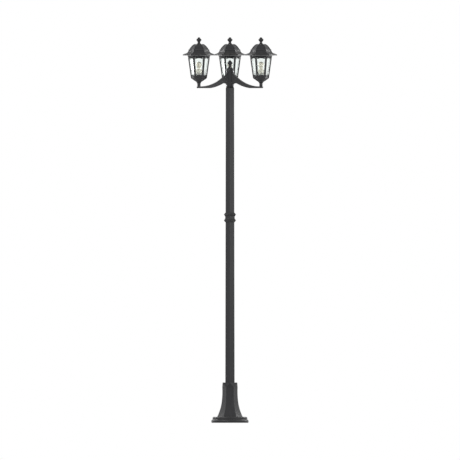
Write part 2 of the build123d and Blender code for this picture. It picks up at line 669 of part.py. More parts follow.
with BuildPart() as tube_nut:
    z_nut = Z_EYE + EYE_RECESS_DEPTH - TUBE_NUT_HEIGHT
    add(hexagonal_prism(z_nut, z_nut + TUBE_NUT_HEIGHT, TUBE_NUT_FLAT, TUBE_NUT_FLAT, FACE_ANGLE))
    add(rod(z_nut, z_nut + TUBE_NUT_HEIGHT, TUBE_R + SLIP), mode=Mode.SUBTRACT)

with BuildPart() as threaded_tube:
    add(rod(z_nut, Z_HOLDER + TUBE_INTO_HOLDER, TUBE_R))
    add(rod(z_nut, Z_HOLDER + TUBE_INTO_HOLDER, TUBE_BORE_R), mode=Mode.SUBTRACT)

with BuildPart() as neck:
    add(rod(Z_NECK, Z_NECK_COLLAR, NECK_R))
    with BuildSketch(Plane.XY.offset(Z_NECK_COLLAR)):
        Circle(NECK_COLLAR_R)
    extrude(amount=NECK_COLLAR_HEIGHT)
    chamfer(neck.edges().filter_by(GeomType.CIRCLE).sort_by(SortBy.RADIUS)[-2:], NECK_COLLAR_CHAMFER)
    add(rod(Z_NECK, Z_CUP, TUBE_R + SCREW_GAP), mode=Mode.SUBTRACT)


def cup_section(lift):
    """The cup's outline and its mirror, moved up by a lift."""
    with BuildSketch() as section:
        with BuildLine():
            side = [(CUP_FOOT_R, 0), (CUP_KNEE_R, CUP_KNEE_HEIGHT), (CUP_RIM_R, CUP_HEIGHT)]
            Polyline(*raised([(0, 0), *map(flat, side), (0, CUP_HEIGHT)], Z_CUP + lift), close=True)
        make_face()
        mirror(about=Plane.YZ)
    return section.sketch


with BuildPart() as cup:
    add(six_sided(cup_section(0), FACE_ANGLE))
    add(six_sided(cup_section(CUP_LIFT), FACE_ANGLE), mode=Mode.SUBTRACT)
    with BuildSketch(Plane.XY.offset(Z_CUP)):
        Circle(TUBE_R + SCREW_GAP)
    extrude(amount=CUP_LIFT, mode=Mode.SUBTRACT)


def corner_bars(outward):
    """The six leaning bars, made thicker outward by a length."""
    with BuildPart() as bars:
        with BuildSketch(Plane.XZ):
            with BuildLine():
                inner, outer = -BAR_THICKNESS / 2, BAR_THICKNESS / 2 + outward
                Polyline(
                    (BAR_FOOT_R + inner, Z_FLOOR),
                    (BAR_FOOT_R + outer, Z_FLOOR),
                    (BAR_HEAD_R + outer, Z_CROWN),
                    (BAR_HEAD_R + inner, Z_CROWN),
                    close=True,
                )
            make_face()
        extrude(amount=BAR_WIDTH / 2, both=True)
        chamfer(bars.edges().group_by(SortBy.LENGTH)[-1].group_by(Axis.X)[-1], BAR_EDGE)
    with BuildPart() as ring:
        with PolarLocations(0, SIDES):
            add(bars.part)
    return ring.part


bar_ring = corner_bars(0)

with BuildPart() as floor_ring:
    floor_flat = FLOOR_R * FLAT
    add(hexagonal_prism(Z_FLOOR, Z_HOLDER, floor_flat, floor_flat, FACE_ANGLE))
    skirt_flat, z_plate = floor_flat - FLOOR_WALL, Z_HOLDER - FLOOR_PLATE
    add(hexagonal_prism(Z_FLOOR, z_plate, skirt_flat, skirt_flat, FACE_ANGLE), mode=Mode.SUBTRACT)
    add(corner_bars(BAR_THICKNESS), mode=Mode.SUBTRACT)
    with BuildSketch(Plane.XY.offset(Z_HOLDER)):
        Circle(TUBE_R + SCREW_GAP)
        with PolarLocations(DRAIN_RING_R, SIDES, start_angle=STEP / 2):
            Circle(DRAIN_R)
    extrude(amount=-FLOOR_PLATE, mode=Mode.SUBTRACT)

with BuildSketch() as crown_section:
    with BuildLine():
        bead_foot = CROWN_HEIGHT - CROWN_BEAD_HEIGHT
        side = [(CROWN_R, 0), (CROWN_R, bead_foot), (CROWN_BEAD_R, bead_foot), (CROWN_BEAD_R, CROWN_HEIGHT)]
        Polyline(*raised([(0, 0), *map(flat, side), (0, CROWN_HEIGHT)], Z_CROWN), close=True)
    make_face()
    mirror(about=Plane.YZ)

mouth_flat = CROWN_INNER_R * FLAT
ledge_flat = CROWN_LEDGE_R * FLAT
z_crown_top = Z_CROWN + CROWN_HEIGHT

with BuildPart() as crown_ring:
    add(six_sided(crown_section.sketch, FACE_ANGLE))
    add(hexagonal_prism(Z_STRAP, z_crown_top, mouth_flat, mouth_flat, FACE_ANGLE), mode=Mode.SUBTRACT)
    add(hexagonal_prism(Z_CROWN, Z_STRAP, ledge_flat, ledge_flat, FACE_ANGLE), mode=Mode.SUBTRACT)
    strap_screw_y = mouth_flat - STRAP_END_GAP - STRAP_SCREW_INSET
    with BuildSketch(Plane.XY.offset(Z_CROWN)):
        with Locations((0, strap_screw_y), (0, -strap_screw_y)):
            Circle(STRAP_SCREW_R + SCREW_GAP)
    extrude(amount=CROWN_LEDGE, mode=Mode.SUBTRACT)


def bar_middle(height):
    """The radius to the middle of a bar at a height."""
    return BAR_FOOT_R + (BAR_HEAD_R - BAR_FOOT_R) * (height - Z_FLOOR) / (Z_CROWN - Z_FLOOR)


def pane_radius(height):
    """The radius across corners of the panes' outer faces at a height."""
    return bar_middle(height) - BAR_THICKNESS / 2 + PANE_BEHIND_BAR


with BuildPart() as pane:
    foot_r, head_r = pane_radius(Z_HOLDER), pane_radius(Z_CROWN)
    with BuildSketch(Plane.YZ):
        with BuildLine():
            Polyline(
                (-foot_r * FLAT, Z_HOLDER),
                (-head_r * FLAT, Z_CROWN),
                (-head_r * FLAT + PANE_THICKNESS, Z_CROWN),
                (-foot_r * FLAT + PANE_THICKNESS, Z_HOLDER),
                close=True,
            )
        make_face()
    extrude(amount=head_r, both=True)
    with BuildSketch(Plane.XZ):
        with BuildLine():
            foot_half, head_half = foot_r / 2 - PANE_EDGE_GAP, head_r / 2 - PANE_EDGE_GAP
            side = Line((foot_half, Z_HOLDER), (head_half, Z_CROWN))
            Polyline(side @ 1, (-head_half, Z_CROWN), (-foot_half, Z_HOLDER), side @ 0)
        make_face()
    extrude(amount=CUT, both=True, mode=Mode.INTERSECT)

with BuildPart() as panes:
    with PolarLocations(0, SIDES):
        add(pane.part)

with BuildPart() as bridge:
    strap_half = mouth_flat - STRAP_END_GAP
    with BuildSketch(Plane.XY.offset(Z_STRAP)):
        Rectangle(STRAP_WIDTH, 2 * strap_half)
        with Locations((0, strap_screw_y), (0, -strap_screw_y)):
            Circle(STRAP_SCREW_R + SCREW_GAP, mode=Mode.SUBTRACT)
        Circle(STUD_R + SCREW_GAP, mode=Mode.SUBTRACT)
    extrude(amount=STRAP_THICKNESS)

with BuildPart() as stud:
    z_stud_head = Z_STRAP - STUD_HEAD_HEIGHT
    add(hexagonal_prism(z_stud_head, Z_STRAP, STUD_HEAD_FLAT, STUD_HEAD_FLAT, FACE_ANGLE))
    add(rod(Z_STRAP, Z_KNOB + KNOB_THREAD_DEPTH - STUD_END_GAP, STUD_R))

strap_screw_length = STRAP_THICKNESS + CROWN_LEDGE - SCREW_GAP
strap_screw = screw(STRAP_SCREW_R, strap_screw_length, STRAP_SCREW_HEAD_R, STRAP_SCREW_HEAD_HEIGHT)
with BuildPart() as strap_screw_pair:
    z_strap_top = Z_STRAP + STRAP_THICKNESS
    with Locations((0, strap_screw_y, z_strap_top), (0, -strap_screw_y, z_strap_top)):
        add(strap_screw)

# The roof's section is a core with a wall, and the solid wedge of its eave
with BuildSketch() as roof_core:
    with BuildLine():
        bell_top, bead_top, dome_foot, dome_middle, shoulder, turn = raised(
            map(flat, [BELL_TOP, BEAD_TOP, DOME_FOOT, DOME_MIDDLE, DOME_SHOULDER, DOME_TURN]), Z_ROOF
        )
        Polyline((0, Z_ROOF), (bell_top[0], Z_ROOF), bell_top, bead_top, dome_foot)
        ThreePointArc(dome_foot, dome_middle, shoulder)
        dome_top = (DOME_TOP_R * FLAT, Z_ROOF + ROOF_HEIGHT)
        ThreePointArc(shoulder, turn, dome_top)
        Polyline(dome_top, (0, Z_ROOF + ROOF_HEIGHT), (0, Z_ROOF))
    make_face()
    mirror(about=Plane.YZ)

with BuildSketch() as roof_inside:
    add(roof_core.sketch)
    offset(amount=-ROOF_WALL, kind=Kind.ARC)
    inside_half = bell_top[0] - ROOF_WALL
    with Locations((0, Z_ROOF + ROOF_WALL)):
        Rectangle(2 * inside_half, 2 * ROOF_WALL)

with BuildSketch() as roof_outside:
    with BuildLine():
        eave_tip, eave_edge, sweep_foot, sweep_middle = raised(
            map(flat, [(EAVE_R, 0), (EAVE_R, EAVE_EDGE), EAVE_SWEEP_FOOT, EAVE_SWEEP_MIDDLE]), Z_ROOF
        )
        Polyline((0, Z_ROOF), eave_tip, eave_edge, sweep_foot)
        ThreePointArc(sweep_foot, sweep_middle, bell_top)
        Polyline(bell_top, (0, bell_top[1]), (0, Z_ROOF))
    make_face()
    mirror(about=Plane.YZ)
    add(roof_core.sketch)

with BuildPart() as roof:
    add(six_sided(roof_outside.sketch, FACE_ANGLE))
    add(six_sided(roof_inside.sketch, FACE_ANGLE), mode=Mode.SUBTRACT)
    with BuildSketch(Plane.XY.offset(Z_ROOF + ROOF_HEIGHT)):
        Circle(STUD_R + SCREW_GAP)
    extrude(amount=-ROOF_WALL * 2, mode=Mode.SUBTRACT)

knob = finial(
    Z_KNOB,
    KNOB_FOOT_R,
    KNOB_STEM_R,
    KNOB_BUD_R,
    KNOB_FOOT_HEIGHT,
    KNOB_STEM_HEIGHT,
    KNOB_BUD_HEIGHT,
    KNOB_HEIGHT,
    STUD_R + SCREW_GAP,
    KNOB_THREAD_DEPTH,
)

with BuildPart() as lampholder:
    with BuildSketch(Plane.XZ):
        with BuildLine():
            outline = [
                (0, 0),
                (HOLDER_FOOT_R, 0),
                (HOLDER_R, HOLDER_TAPER_HEIGHT),
                (HOLDER_R, HOLDER_HEIGHT - HOLDER_RIM_HEIGHT),
                (HOLDER_RIM_R, HOLDER_HEIGHT),
                (BULB_CAP_R + BULB_GAP, HOLDER_HEIGHT),
                (BULB_CAP_R + BULB_GAP, HOLDER_FLOOR),
                (0, HOLDER_FLOOR),
            ]
            Polyline(*raised(outline, Z_HOLDER), close=True)
        make_face()
    revolve(axis=Axis.Z)
    add(rod(Z_HOLDER, Z_HOLDER + TUBE_INTO_HOLDER, TUBE_R + SLIP), mode=Mode.SUBTRACT)

with BuildPart() as bulb_cap:
    add(rod(Z_BULB + BULB_CONTACT_HEIGHT, Z_BULB_GLASS, BULB_CAP_R))
    with BuildSketch(Plane.XY.offset(Z_BULB)) as contact:
        Circle(BULB_CONTACT_R)
    with BuildSketch(Plane.XY.offset(Z_BULB + BULB_CONTACT_HEIGHT)) as contact_top:
        Circle(BULB_CAP_R - BULB_CONTACT_HEIGHT)
    loft()

# The radius of the sweep that is tangent to a bulb's neck and to its round head
neck_drop = BULB_RISE - BULB_NECK_HEIGHT
sweep_r = (neck_drop**2 + BULB_NECK_R**2 - BULB_HEAD_R**2) / (BULB_HEAD_R - BULB_NECK_R) / 2


def bulb_half(inset):
    """Half of a bulb's outline, drawn in by a wall."""
    z_head = Z_BULB_GLASS + BULB_RISE
    head_r, neck_r = BULB_HEAD_R - inset, BULB_NECK_R - inset
    reach = head_r / (BULB_HEAD_R + sweep_r)
    join = (reach * (BULB_NECK_R + sweep_r), z_head - reach * neck_drop)
    with BuildSketch(Plane.XZ) as outline:
        with BuildLine():
            neck_side = Line((neck_r, Z_BULB_GLASS), (neck_r, Z_BULB_GLASS + BULB_NECK_HEIGHT))
            TangentArc(neck_side @ 1, join, tangent=neck_side % 1)
            ThreePointArc(join, (head_r, z_head), (0, z_head + head_r))
            Polyline((0, z_head + head_r), (0, Z_BULB_GLASS), neck_side @ 0)
        make_face()
    return outline.sketch


with BuildPart() as bulb_glass:
    add(bulb_half(0))
    revolve(axis=Axis.Z)
    add(bulb_half(BULB_GLASS_WALL))
    revolve(axis=Axis.Z, mode=Mode.SUBTRACT)

LANTERN_PIECES = {
    "threaded_tube": threaded_tube.part,
    "neck": neck.part,
    "cup": cup.part,
    "floor_ring": floor_ring.part,
    "corner_bars": bar_ring,
    "panes": panes.part,
    "crown_ring": crown_ring.part,
    "bridge": bridge.part,
    "roof": roof.part,
    "finial": knob,
    "lampholder": lampholder.part,
    "bulb_cap": bulb_cap.part,
    "bulb_glass": bulb_glass.part,
}


def at_lantern(turn):
    """Where a lantern's axis stands, turned about the post."""
    return Rot(0, 0, turn) * Pos(0, ARM_REACH, 0)


for side, turn in LANTERNS.items():
    keep(Rot(0, 0, turn) * arm.part, f"{side}_arm")
    for name, piece in LANTERN_PIECES.items():
        keep(at_lantern(turn) * piece, f"{side}_{name}")

SHARED_PIECES = {
    "tube_nuts": tube_nut.part,
    "strap_screws": strap_screw_pair.part,
    "bridge_studs": stud.part,
}

for name, piece in SHARED_PIECES.items():
    with BuildPart() as group:
        for turn in LANTERNS.values():
            add(at_lantern(turn) * piece)
    keep(group.part, name)
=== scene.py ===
"""Looks of a triple head garden lamp post: its finishes, its cast trim and its studio.

Materials and the stage are in metres. The trim is drawn in millimetres, and piece() scales it.
"""

from cmath import phase, rect
from functools import cached_property
from math import cos, pi, radians, sin, tan, tau

import bmesh
import bpy
from bpy.props import FloatProperty, FloatVectorProperty, IntProperty, PointerProperty
from mathutils import Matrix, Vector


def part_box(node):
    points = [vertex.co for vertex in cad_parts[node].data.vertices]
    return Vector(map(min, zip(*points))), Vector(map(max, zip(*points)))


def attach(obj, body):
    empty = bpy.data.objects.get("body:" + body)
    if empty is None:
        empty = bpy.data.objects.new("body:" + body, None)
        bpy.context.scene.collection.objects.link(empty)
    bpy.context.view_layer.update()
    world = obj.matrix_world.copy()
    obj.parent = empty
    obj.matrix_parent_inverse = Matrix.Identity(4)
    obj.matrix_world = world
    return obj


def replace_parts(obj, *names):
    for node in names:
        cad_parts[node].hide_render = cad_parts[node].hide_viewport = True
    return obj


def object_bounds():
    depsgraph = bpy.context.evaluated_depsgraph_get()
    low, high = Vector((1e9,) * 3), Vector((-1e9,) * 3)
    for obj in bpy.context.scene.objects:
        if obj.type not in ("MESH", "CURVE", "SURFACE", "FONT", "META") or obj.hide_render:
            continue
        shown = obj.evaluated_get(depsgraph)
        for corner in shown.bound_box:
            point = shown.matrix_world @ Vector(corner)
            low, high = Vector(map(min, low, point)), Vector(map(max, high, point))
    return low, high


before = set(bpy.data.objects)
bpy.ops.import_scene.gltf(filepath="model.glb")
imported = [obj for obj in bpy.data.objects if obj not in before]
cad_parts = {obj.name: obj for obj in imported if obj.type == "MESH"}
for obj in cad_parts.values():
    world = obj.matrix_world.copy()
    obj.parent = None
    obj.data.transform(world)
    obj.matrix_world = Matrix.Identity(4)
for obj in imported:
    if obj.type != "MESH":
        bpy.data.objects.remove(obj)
cad_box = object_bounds()

bl_info = {
    "name": "Triple head lamp post",
    "version": (1, 0, 0),
    "blender": (4, 5, 0),
    "location": "View3D > Sidebar > Lamp Post",
    "description": "Dresses the castings, glazing and lamps of a garden lamp post",
    "category": "Object",
}

MM = 0.001
SIDES = 6
HALF_SIDE = pi / SIDES  # half the angle that a hexagon's side takes
FLAT = cos(HALF_SIDE)  # a hexagon's radius across flats, over that across corners
WHITE = (1.0, 1.0, 1.0)
CREASE = radians(32)  # a sharper edge than this isn't shaded smooth
MERGE = 1e-6  # points nearer than this, in metres, are one
ROUND = 48  # points round a circle
RIGHTWARD = Vector((1, 0, 0))
REARWARD = Vector((0, 1, 0))
UPWARD = Vector((0, 0, 1))
LANTERNS = {"rear": 0, "left": 120, "right": 240}  # turned about the post, from the rear
CASTINGS = ("foot", "column", "collar", "pole_cap", "hub", "hub_cap", "post_finial")
LANTERN_CASTINGS = ("arm", "neck", "cup", "floor_ring", "corner_bars", "crown_ring", "roof", "finial")
EXTRUSIONS = ("pole_lower", "pole_upper")

# The castings that the trim follows, in millimetres. A section's points are (radius across corners,
# height over the node's foot).
HIP_FOOT = (94.6, 5.9)  # where a roof's ribs start on its eave
EAVE_SWEEP = ((82.0, 9.5), (67.5, 16.5), (60.8, 29.0))
DOME_FOOT = ((60.0, 35.0), (56.0, 36.2))
DOME = ((56.0, 36.2), (47.0, 49.5), (36.5, 60.3))
DOME_CAP = ((36.5, 60.3), (30.0, 64.9), (17.0, 67.0))
CUP_KNEE = (20.6, 7.7)
CUP_RIM = (47.4, 26.0)
CROWN_R = 64.4
BAR_FOOT_R = 43.6  # to the middle of a corner bar, at the cup's rim
BAR_HEAD_R = 60.8  # and under the crown
BAR_HEIGHT = 123.0
BAR_THICKNESS = 5.5
BAR_WIDTH = 12.0
PANE_BEHIND_BAR = 0.5
PANE_FOOT = 18.0  # over the bars' foot
PANE_DEPTH = 3.15  # from a pane's front to what touches its back

# The arm's side view, in millimetres: distance from the post's axis, height over the hub's foot
ARM_TOP = ((23.4, 80.0), (32.5, 69.0))
ARM_TOP_SWEEP_START = 46.0
ARM_TOP_SWEEP_R = 235.0
ARM_REACH = 200.8
ARM_UNDER_TIP = (196.0, -10.6)
ARM_UNDER = ((140.0, -10.6), (92.0, 0.0), (55.0, 15.0))
ARM_HUMP = ((55.0, 15.0), (39.0, 18.4), (23.4, 12.5))
ARM_HALF_THICKNESS = 6.3
ARM_FLANGE = 6.0


def size_property(name, description, millimetres):
    """A length that a user would change, kept in metres."""
    default = millimetres * MM
    return FloatProperty(name=name, description=description, default=default, unit="LENGTH", precision=4)


def colour_property(name, description, default):
    """A colour that a user would change."""
    return FloatVectorProperty(
        name=name, description=description, default=default, size=3, min=0, max=1, subtype="COLOR"
    )


def share_property(name, description, default):
    """A share from 0 to 1 that a user would change."""
    return FloatProperty(name=name, description=description, default=default, min=0, max=1, subtype="FACTOR")


def power_property(name, description, watts):
    """A lamp's power."""
    return FloatProperty(name=name, description=description, default=watts, min=0, unit="POWER")


def count_property(name, description, default, low, high):
    """A count that a user would change."""
    return IntProperty(name=name, description=description, default=default, min=low, max=high)


class LampPostFinish(bpy.types.PropertyGroup):
    """Colours and textures of the lamp post's surfaces."""

    coat_colour: colour_property("Coat", "Satin powder coat on every casting", (0.016, 0.016, 0.018))
    # Worn coat and painted highlight: this lighter colour goes on every sharp edge of the castings.
    worn_and_highlight_colour: colour_property("Worn edges", "The coat where hands and weather rub it", (0.13, 0.13, 0.135))
    dust_colour: colour_property("Dust", "Dry dust on what faces up", (0.20, 0.185, 0.16))
    glass_colour: colour_property("Glass", "Faint green of the panes", (0.955, 0.985, 0.972))
    opal_colour: colour_property("Opal", "White glass of the bulbs", (0.64, 0.58, 0.48))
    porcelain_colour: colour_property("Porcelain", "Glaze of the lampholders", (0.66, 0.63, 0.55))
    brass_colour: colour_property("Brass", "Contacts and the bulbs' caps", (0.71, 0.62, 0.42))
    zinc_colour: colour_property("Zinc", "Plated screws, nuts and studs", (0.60, 0.62, 0.65))
    plastic_colour: colour_property("Plastic", "Body of the terminal block", (0.70, 0.70, 0.66))
    edge_round: size_property("Edge round", "How far a casting's sharp edges look rounded", 1.2)
    coat_roughness: share_property("Coat roughness", "Middle of the coat's roughness", 0.4)


class LampPostTrim(bpy.types.PropertyGroup):
    """Sizes of the cast trim."""

    hip_width: size_property("Hip width", "Width of the rib on each of a roof's corners", 3.6)
    hip_height: size_property("Hip height", "How far that rib stands out", 1.7)
    bead_height: size_property("Bead height", "How far the roof's level beads stand out", 1.3)
    pearl_radius: size_property("Pearl radius", "Radius of the pearls round a lantern's crown", 2.3)
    pearl_count: count_property("Pearls", "Pearls on each face of a crown", 13, 1, 40)
    reed_count: count_property("Reeds", "Reeds on each face of a cup", 9, 1, 30)
    arch_drop: size_property("Arch drop", "How far the arched strip hangs beside the bars", 9.5)
    arch_crown: size_property("Arch crown", "How far it hangs in the middle of a pane", 3.6)
    flute_count: count_property("Flutes", "Flutes round a lampholder", 20, 3, 60)
    gadroon_count: count_property("Gadroons", "Gadroons round a finial's bud", 12, 3, 40)


class LampPostStudio(bpy.types.PropertyGroup):
    """Floor, background and lamps of the studio."""

    floor_colour: colour_property("Floor", "Pale floor", (0.86, 0.86, 0.86))
    key_power: power_property("Key", "Large lamp to the front left", 120)
    fill_power: power_property("Fill", "Lamp to the front right", 45)
    rim_power: power_property("Rim", "Each lamp behind the post", 50)
    sky_strength: share_property("Sky", "Even light from all round", 0.5)


class Value:
    """A shader socket that stands in Python expressions, which add their own Math nodes."""

    def __init__(self, paint, socket):
        self.paint = paint
        self.socket = socket

    def maths(self, operation, first, second):
        """The result of one Math node."""
        return self.paint.node("ShaderNodeMath", {"operation": operation}, {0: first, 1: second})

    def __add__(self, other):
        return self.maths("ADD", self, other)

    def __sub__(self, other):
        return self.maths("SUBTRACT", self, other)

    def __rsub__(self, other):
        return self.maths("SUBTRACT", other, self)

    def __mul__(self, other):
        return self.maths("MULTIPLY", self, other)

    def __or__(self, other):
        return self.maths("MAXIMUM", self, other)

    __radd__ = __add__
    __rmul__ = __mul__

    def within(self, low, high):
        """0 up to low and 1 from high, even between."""
        settings = {"clamp": True, "interpolation_type": "SMOOTHSTEP"}
        sockets = {"Value": self, "From Min": low, "From Max": high}
        return self.paint.node("ShaderNodeMapRange", settings, sockets)


class Paint:
    """The shader of a material or of the world, built up node by node."""

    def __init__(self, owner):
        owner.use_nodes = True
        self.owner = owner
        self.tree = owner.node_tree
        self.tree.nodes.clear()

    @cached_property
    def place(self):
        """Where a point is, in metres at rest."""
        return self.node("ShaderNodeTexCoord", output="Object")

    @cached_property
    def facing(self):
        """The way that the surface faces."""
        return self.node("ShaderNodeNewGeometry", output="Normal")

    @cached_property
    def seen(self):
        """1 to the camera, in reflections and through glass, and 0 where only light counts."""
        rays = [f"Is {kind} Ray" for kind in ("Camera", "Glossy", "Transmission")]
        direct, mirrored, through = [self.node("ShaderNodeLightPath", output=ray) for ray in rays]
        return direct | mirrored | through

    def node(self, kind, settings=None, sockets=None, output=0):
        """A node's output, once its settings are made and then its sockets filled."""
        node = self.tree.nodes.new(kind)
        for key, value in (settings or {}).items():
            setattr(node, key, value)
        for key, value in (sockets or {}).items():
            socket = node.inputs[key]
            if isinstance(value, Value):
                self.tree.links.new(value.socket, socket)
            else:
                socket.default_value = (*value, 1.0) if socket.type == "RGBA" else value
        return None if output is None else Value(self, node.outputs[output])

    def colour(self, factor, first, second):
        """A colour between two."""
        settings = {"data_type": "RGBA", "blend_type": "MIX", "clamp_factor": True}
        return self.node("ShaderNodeMix", settings, {0: factor, 6: first, 7: second}, output=2)

    def noise(self, scale, detail, stretch=None, roughness=0.55):
        """Noise from 0 to 1 with so many bumps to the metre, stretched along an axis where stretch says."""
        place = self.place
        if stretch:
            place = self.node("ShaderNodeVectorMath", {"operation": "MULTIPLY"}, {0: place, 1: stretch})
        sockets = {"Vector": place, "Scale": scale, "Detail": detail, "Roughness": roughness}
        return self.node("ShaderNodeTexNoise", {}, sockets)

    def part_of(self, vector, axis):
        """One of a vector's three numbers."""
        return self.node("ShaderNodeSeparateXYZ", {}, {0: vector}, output=axis)

    def bump(self, height, distance, normal=None):
        """The normal over a height that reaches so many metres."""
        sockets = {"Height": height, "Distance": distance, "Strength": 1.0}
        if normal:
            sockets["Normal"] = normal
        return self.node("ShaderNodeBump", {}, sockets)

    def rounded(self, radius):
        """The normal as if sharp edges were rounded."""
        return self.node("ShaderNodeBevel", {"samples": 6}, {"Radius": radius})

    def edges(self, rounded):
        """1 at sharp edges, 0 on flat ground."""
        sockets = {0: rounded, 1: self.facing}
        return 1 - self.node("ShaderNodeVectorMath", {"operation": "DOT_PRODUCT"}, sockets, output="Value")

    def principled(self, **sockets):
        """The main shader, its sockets named with underscores for spaces."""
        named = {key.replace("_", " "): value for key, value in sockets.items()}
        return self.node("ShaderNodeBsdfPrincipled", {}, named)

    def mixed(self, factor, first, second):
        """A shader between two."""
        return self.node("ShaderNodeMixShader", {}, {0: factor, 1: first, 2: second})

    def finish(self, surface, output="ShaderNodeOutputMaterial"):
        """Ends the shader in a surface."""
        self.node(output, sockets={"Surface": surface}, output=None)
        return self.owner


# --- Finishes: each takes a new material's Paint and the user's colours, and returns its surface -----


def shaded(colour, share):
    """A colour made darker or lighter."""
    return tuple(share * part for part in colour)


def powder_coat(paint, look, relief, relief_scale, stretch=None):
    """Satin black powder coat over metal with a relief so many metres high, its sharp edges lightened as worn
    coat and painted highlight.
    """
    rounded = paint.rounded(look.edge_round)
    peel = paint.noise(900, detail=2)
    metal = paint.noise(relief_scale, detail=4, stretch=stretch)
    clouds = paint.noise(7, detail=5)
    streaks = paint.noise(60, detail=4, stretch=(1, 1, 0.05))
    grit = paint.noise(420, detail=6, roughness=0.7)
    level = paint.part_of(paint.facing, "Z").within(0.55, 0.98)
    dust = level * grit.within(0.42, 0.66) * clouds.within(0.3, 0.75) * 0.55
    # Painted highlight and wear: every sharp edge, where the grit allows, turns to the lighter worn colour.
    rubbed_and_highlit = paint.edges(rounded).within(0.004, 0.09) * grit.within(0.36, 0.6)
    washed = streaks.within(0.52, 0.74) * (1 - level) * 0.32
    coat = paint.colour(washed, look.coat_colour, shaded(look.coat_colour, 2.1))
    coat = paint.colour(rubbed_and_highlit * 0.85, coat, look.worn_and_highlight_colour)
    coat = paint.colour(dust, coat, look.dust_colour)
    return paint.principled(
        Base_Color=coat,
        Roughness=clouds * 0.12 + streaks * 0.1 + dust * 0.45 - rubbed_and_highlit * 0.06 + (look.coat_roughness - 0.11),
        Specular_IOR_Level=0.32,
        Normal=paint.bump(peel, 0.00006, normal=paint.bump(metal, relief, normal=rounded)),
    )


def cast_coat(paint, look):
    """The coat over sand-cast metal."""
    return powder_coat(paint, look, 0.00022, 190)


def drawn_coat(paint, look):
    """The coat over extruded metal, with its faint die lines."""
    return powder_coat(paint, look, 0.00008, 260, stretch=(1, 1, 0.02))


def clear_pane(paint, look):
    """Clear sheet glass, drawn a little wavy, with a film of dust that thickens to the foot."""
    foot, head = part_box("rear_panes")
    height = paint.part_of(paint.place, "Z")
    waves = paint.noise(16, detail=1, stretch=(1, 1, 0.35))
    specks = paint.noise(700, detail=5, roughness=0.75)
    runs = paint.noise(90, detail=3, stretch=(1, 1, 0.04))
    low = 1 - height.within(foot.z, foot.z + 0.35 * (head.z - foot.z))
    film = low * 0.05 + specks.within(0.62, 0.74) * 0.04 + runs.within(0.58, 0.75) * 0.02
    glass = paint.principled(
        Base_Color=look.glass_colour,
        Roughness=0.015,
        IOR=1.46,
        Transmission_Weight=1.0,
        Normal=paint.bump(waves, 0.0004),
    )
    dust = paint.node("ShaderNodeBsdfDiffuse", {}, {"Color": look.dust_colour})
    clear = paint.node("ShaderNodeBsdfTransparent", {}, {"Color": look.glass_colour})
    shadow = paint.node("ShaderNodeLightPath", output="Is Shadow Ray")
    return paint.mixed(shadow, paint.mixed(film, glass, dust), clear)


def opal_bulb(paint, look):
    """White glass of a bulb, smooth outside and milky within."""
    foot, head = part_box("rear_bulb_glass")
    height = paint.part_of(paint.place, "Z")
    clouds = paint.noise(45, detail=3)
    neck = 1 - height.within(foot.z, foot.z + 0.3 * (head.z - foot.z))
    return paint.principled(
        Base_Color=paint.colour(
            neck * 0.35 + clouds.within(0.4, 0.8) * 0.12, look.opal_colour, look.porcelain_colour
        ),
        Roughness=clouds * 0.08 + 0.16,
        Subsurface_Weight=0.2,
        Subsurface_Radius=(0.012, 0.011, 0.009),
        Subsurface_Scale=0.4,
        Coat_Weight=0.4,
        Coat_Roughness=0.06,
        Normal=paint.bump(paint.noise(120, detail=2), 0.00004),
    )


def glazed_porcelain(paint, look):
    """Cream glaze with pinholes, thin and darker on the edges, with painted shade in the creases."""
    rounded = paint.rounded(0.0006)
    clouds = paint.noise(60, detail=4)
    pinholes = paint.noise(1500, detail=2).within(0.70, 0.78)
    # Painted shade: the same mask darkens the creases between flutes and body as well as the outer edges of
    # the glaze.
    thin_glaze_and_crease_shade = paint.edges(rounded).within(0.01, 0.2)
    clay_and_crease_shade = clouds.within(0.35, 0.8) * 0.18 + thin_glaze_and_crease_shade * 0.4 + pinholes * 0.5
    return paint.principled(
        Base_Color=paint.colour(clay_and_crease_shade, look.porcelain_colour, shaded(look.porcelain_colour, 0.62)),
        Roughness=clouds * 0.12 + pinholes * 0.2 + 0.16,
        Coat_Weight=0.5 - pinholes * 0.4,
        Coat_Roughness=0.05,
        Normal=paint.bump(clouds, 0.00012, normal=rounded),
    )


def turned_brass(paint, look):
    """Brass or nickelled brass with turning marks and a little tarnish."""
    marks = paint.noise(350, detail=3, stretch=(0.05, 0.05, 6))
    tarnish = paint.noise(130, detail=5).within(0.45, 0.8)
    return paint.principled(
        Base_Color=paint.colour(tarnish * 0.6, look.brass_colour, shaded(look.brass_colour, 0.5)),
        Metallic=1.0 - tarnish * 0.15,
        Roughness=marks * 0.14 + tarnish * 0.2 + 0.18,
        Normal=paint.bump(marks, 0.00004, normal=paint.rounded(0.0003)),
    )


def zinc_plate(paint, look):
    """Bright zinc with spangle and a blue cast."""
    bloom = (0.72, 0.73, 0.74)
    sockets = {"Vector": paint.place, "Scale": 500.0}
    grain = paint.part_of(paint.node("ShaderNodeTexVoronoi", {}, sockets, output="Color"), "X")
    white_rust = paint.noise(240, detail=6, roughness=0.7).within(0.55, 0.75)
    plate = paint.colour(grain * 0.35, look.zinc_colour, shaded(look.zinc_colour, 0.72))
    return paint.principled(
        Base_Color=paint.colour(white_rust * 0.5, plate, bloom),
        Metallic=1.0 - white_rust * 0.35,
        Roughness=grain * 0.14 + white_rust * 0.25 + 0.24,
        Normal=paint.bump(grain, 0.00003, normal=paint.rounded(0.0003)),
    )


def moulded_plastic(paint, look):
    """Matte plastic with a spark-eroded grain."""
    grain = paint.noise(1800, detail=2)
    aged = tuple(share * part for share, part in zip((0.95, 0.88, 0.7), look.plastic_colour))
    ageing = paint.noise(80, detail=4).within(0.35, 0.8) * 0.5
    return paint.principled(
        Base_Color=paint.colour(ageing, look.plastic_colour, aged),
        Roughness=grain * 0.15 + 0.45,
        Normal=paint.bump(grain, 0.00005, normal=paint.rounded(0.0005)),
    )


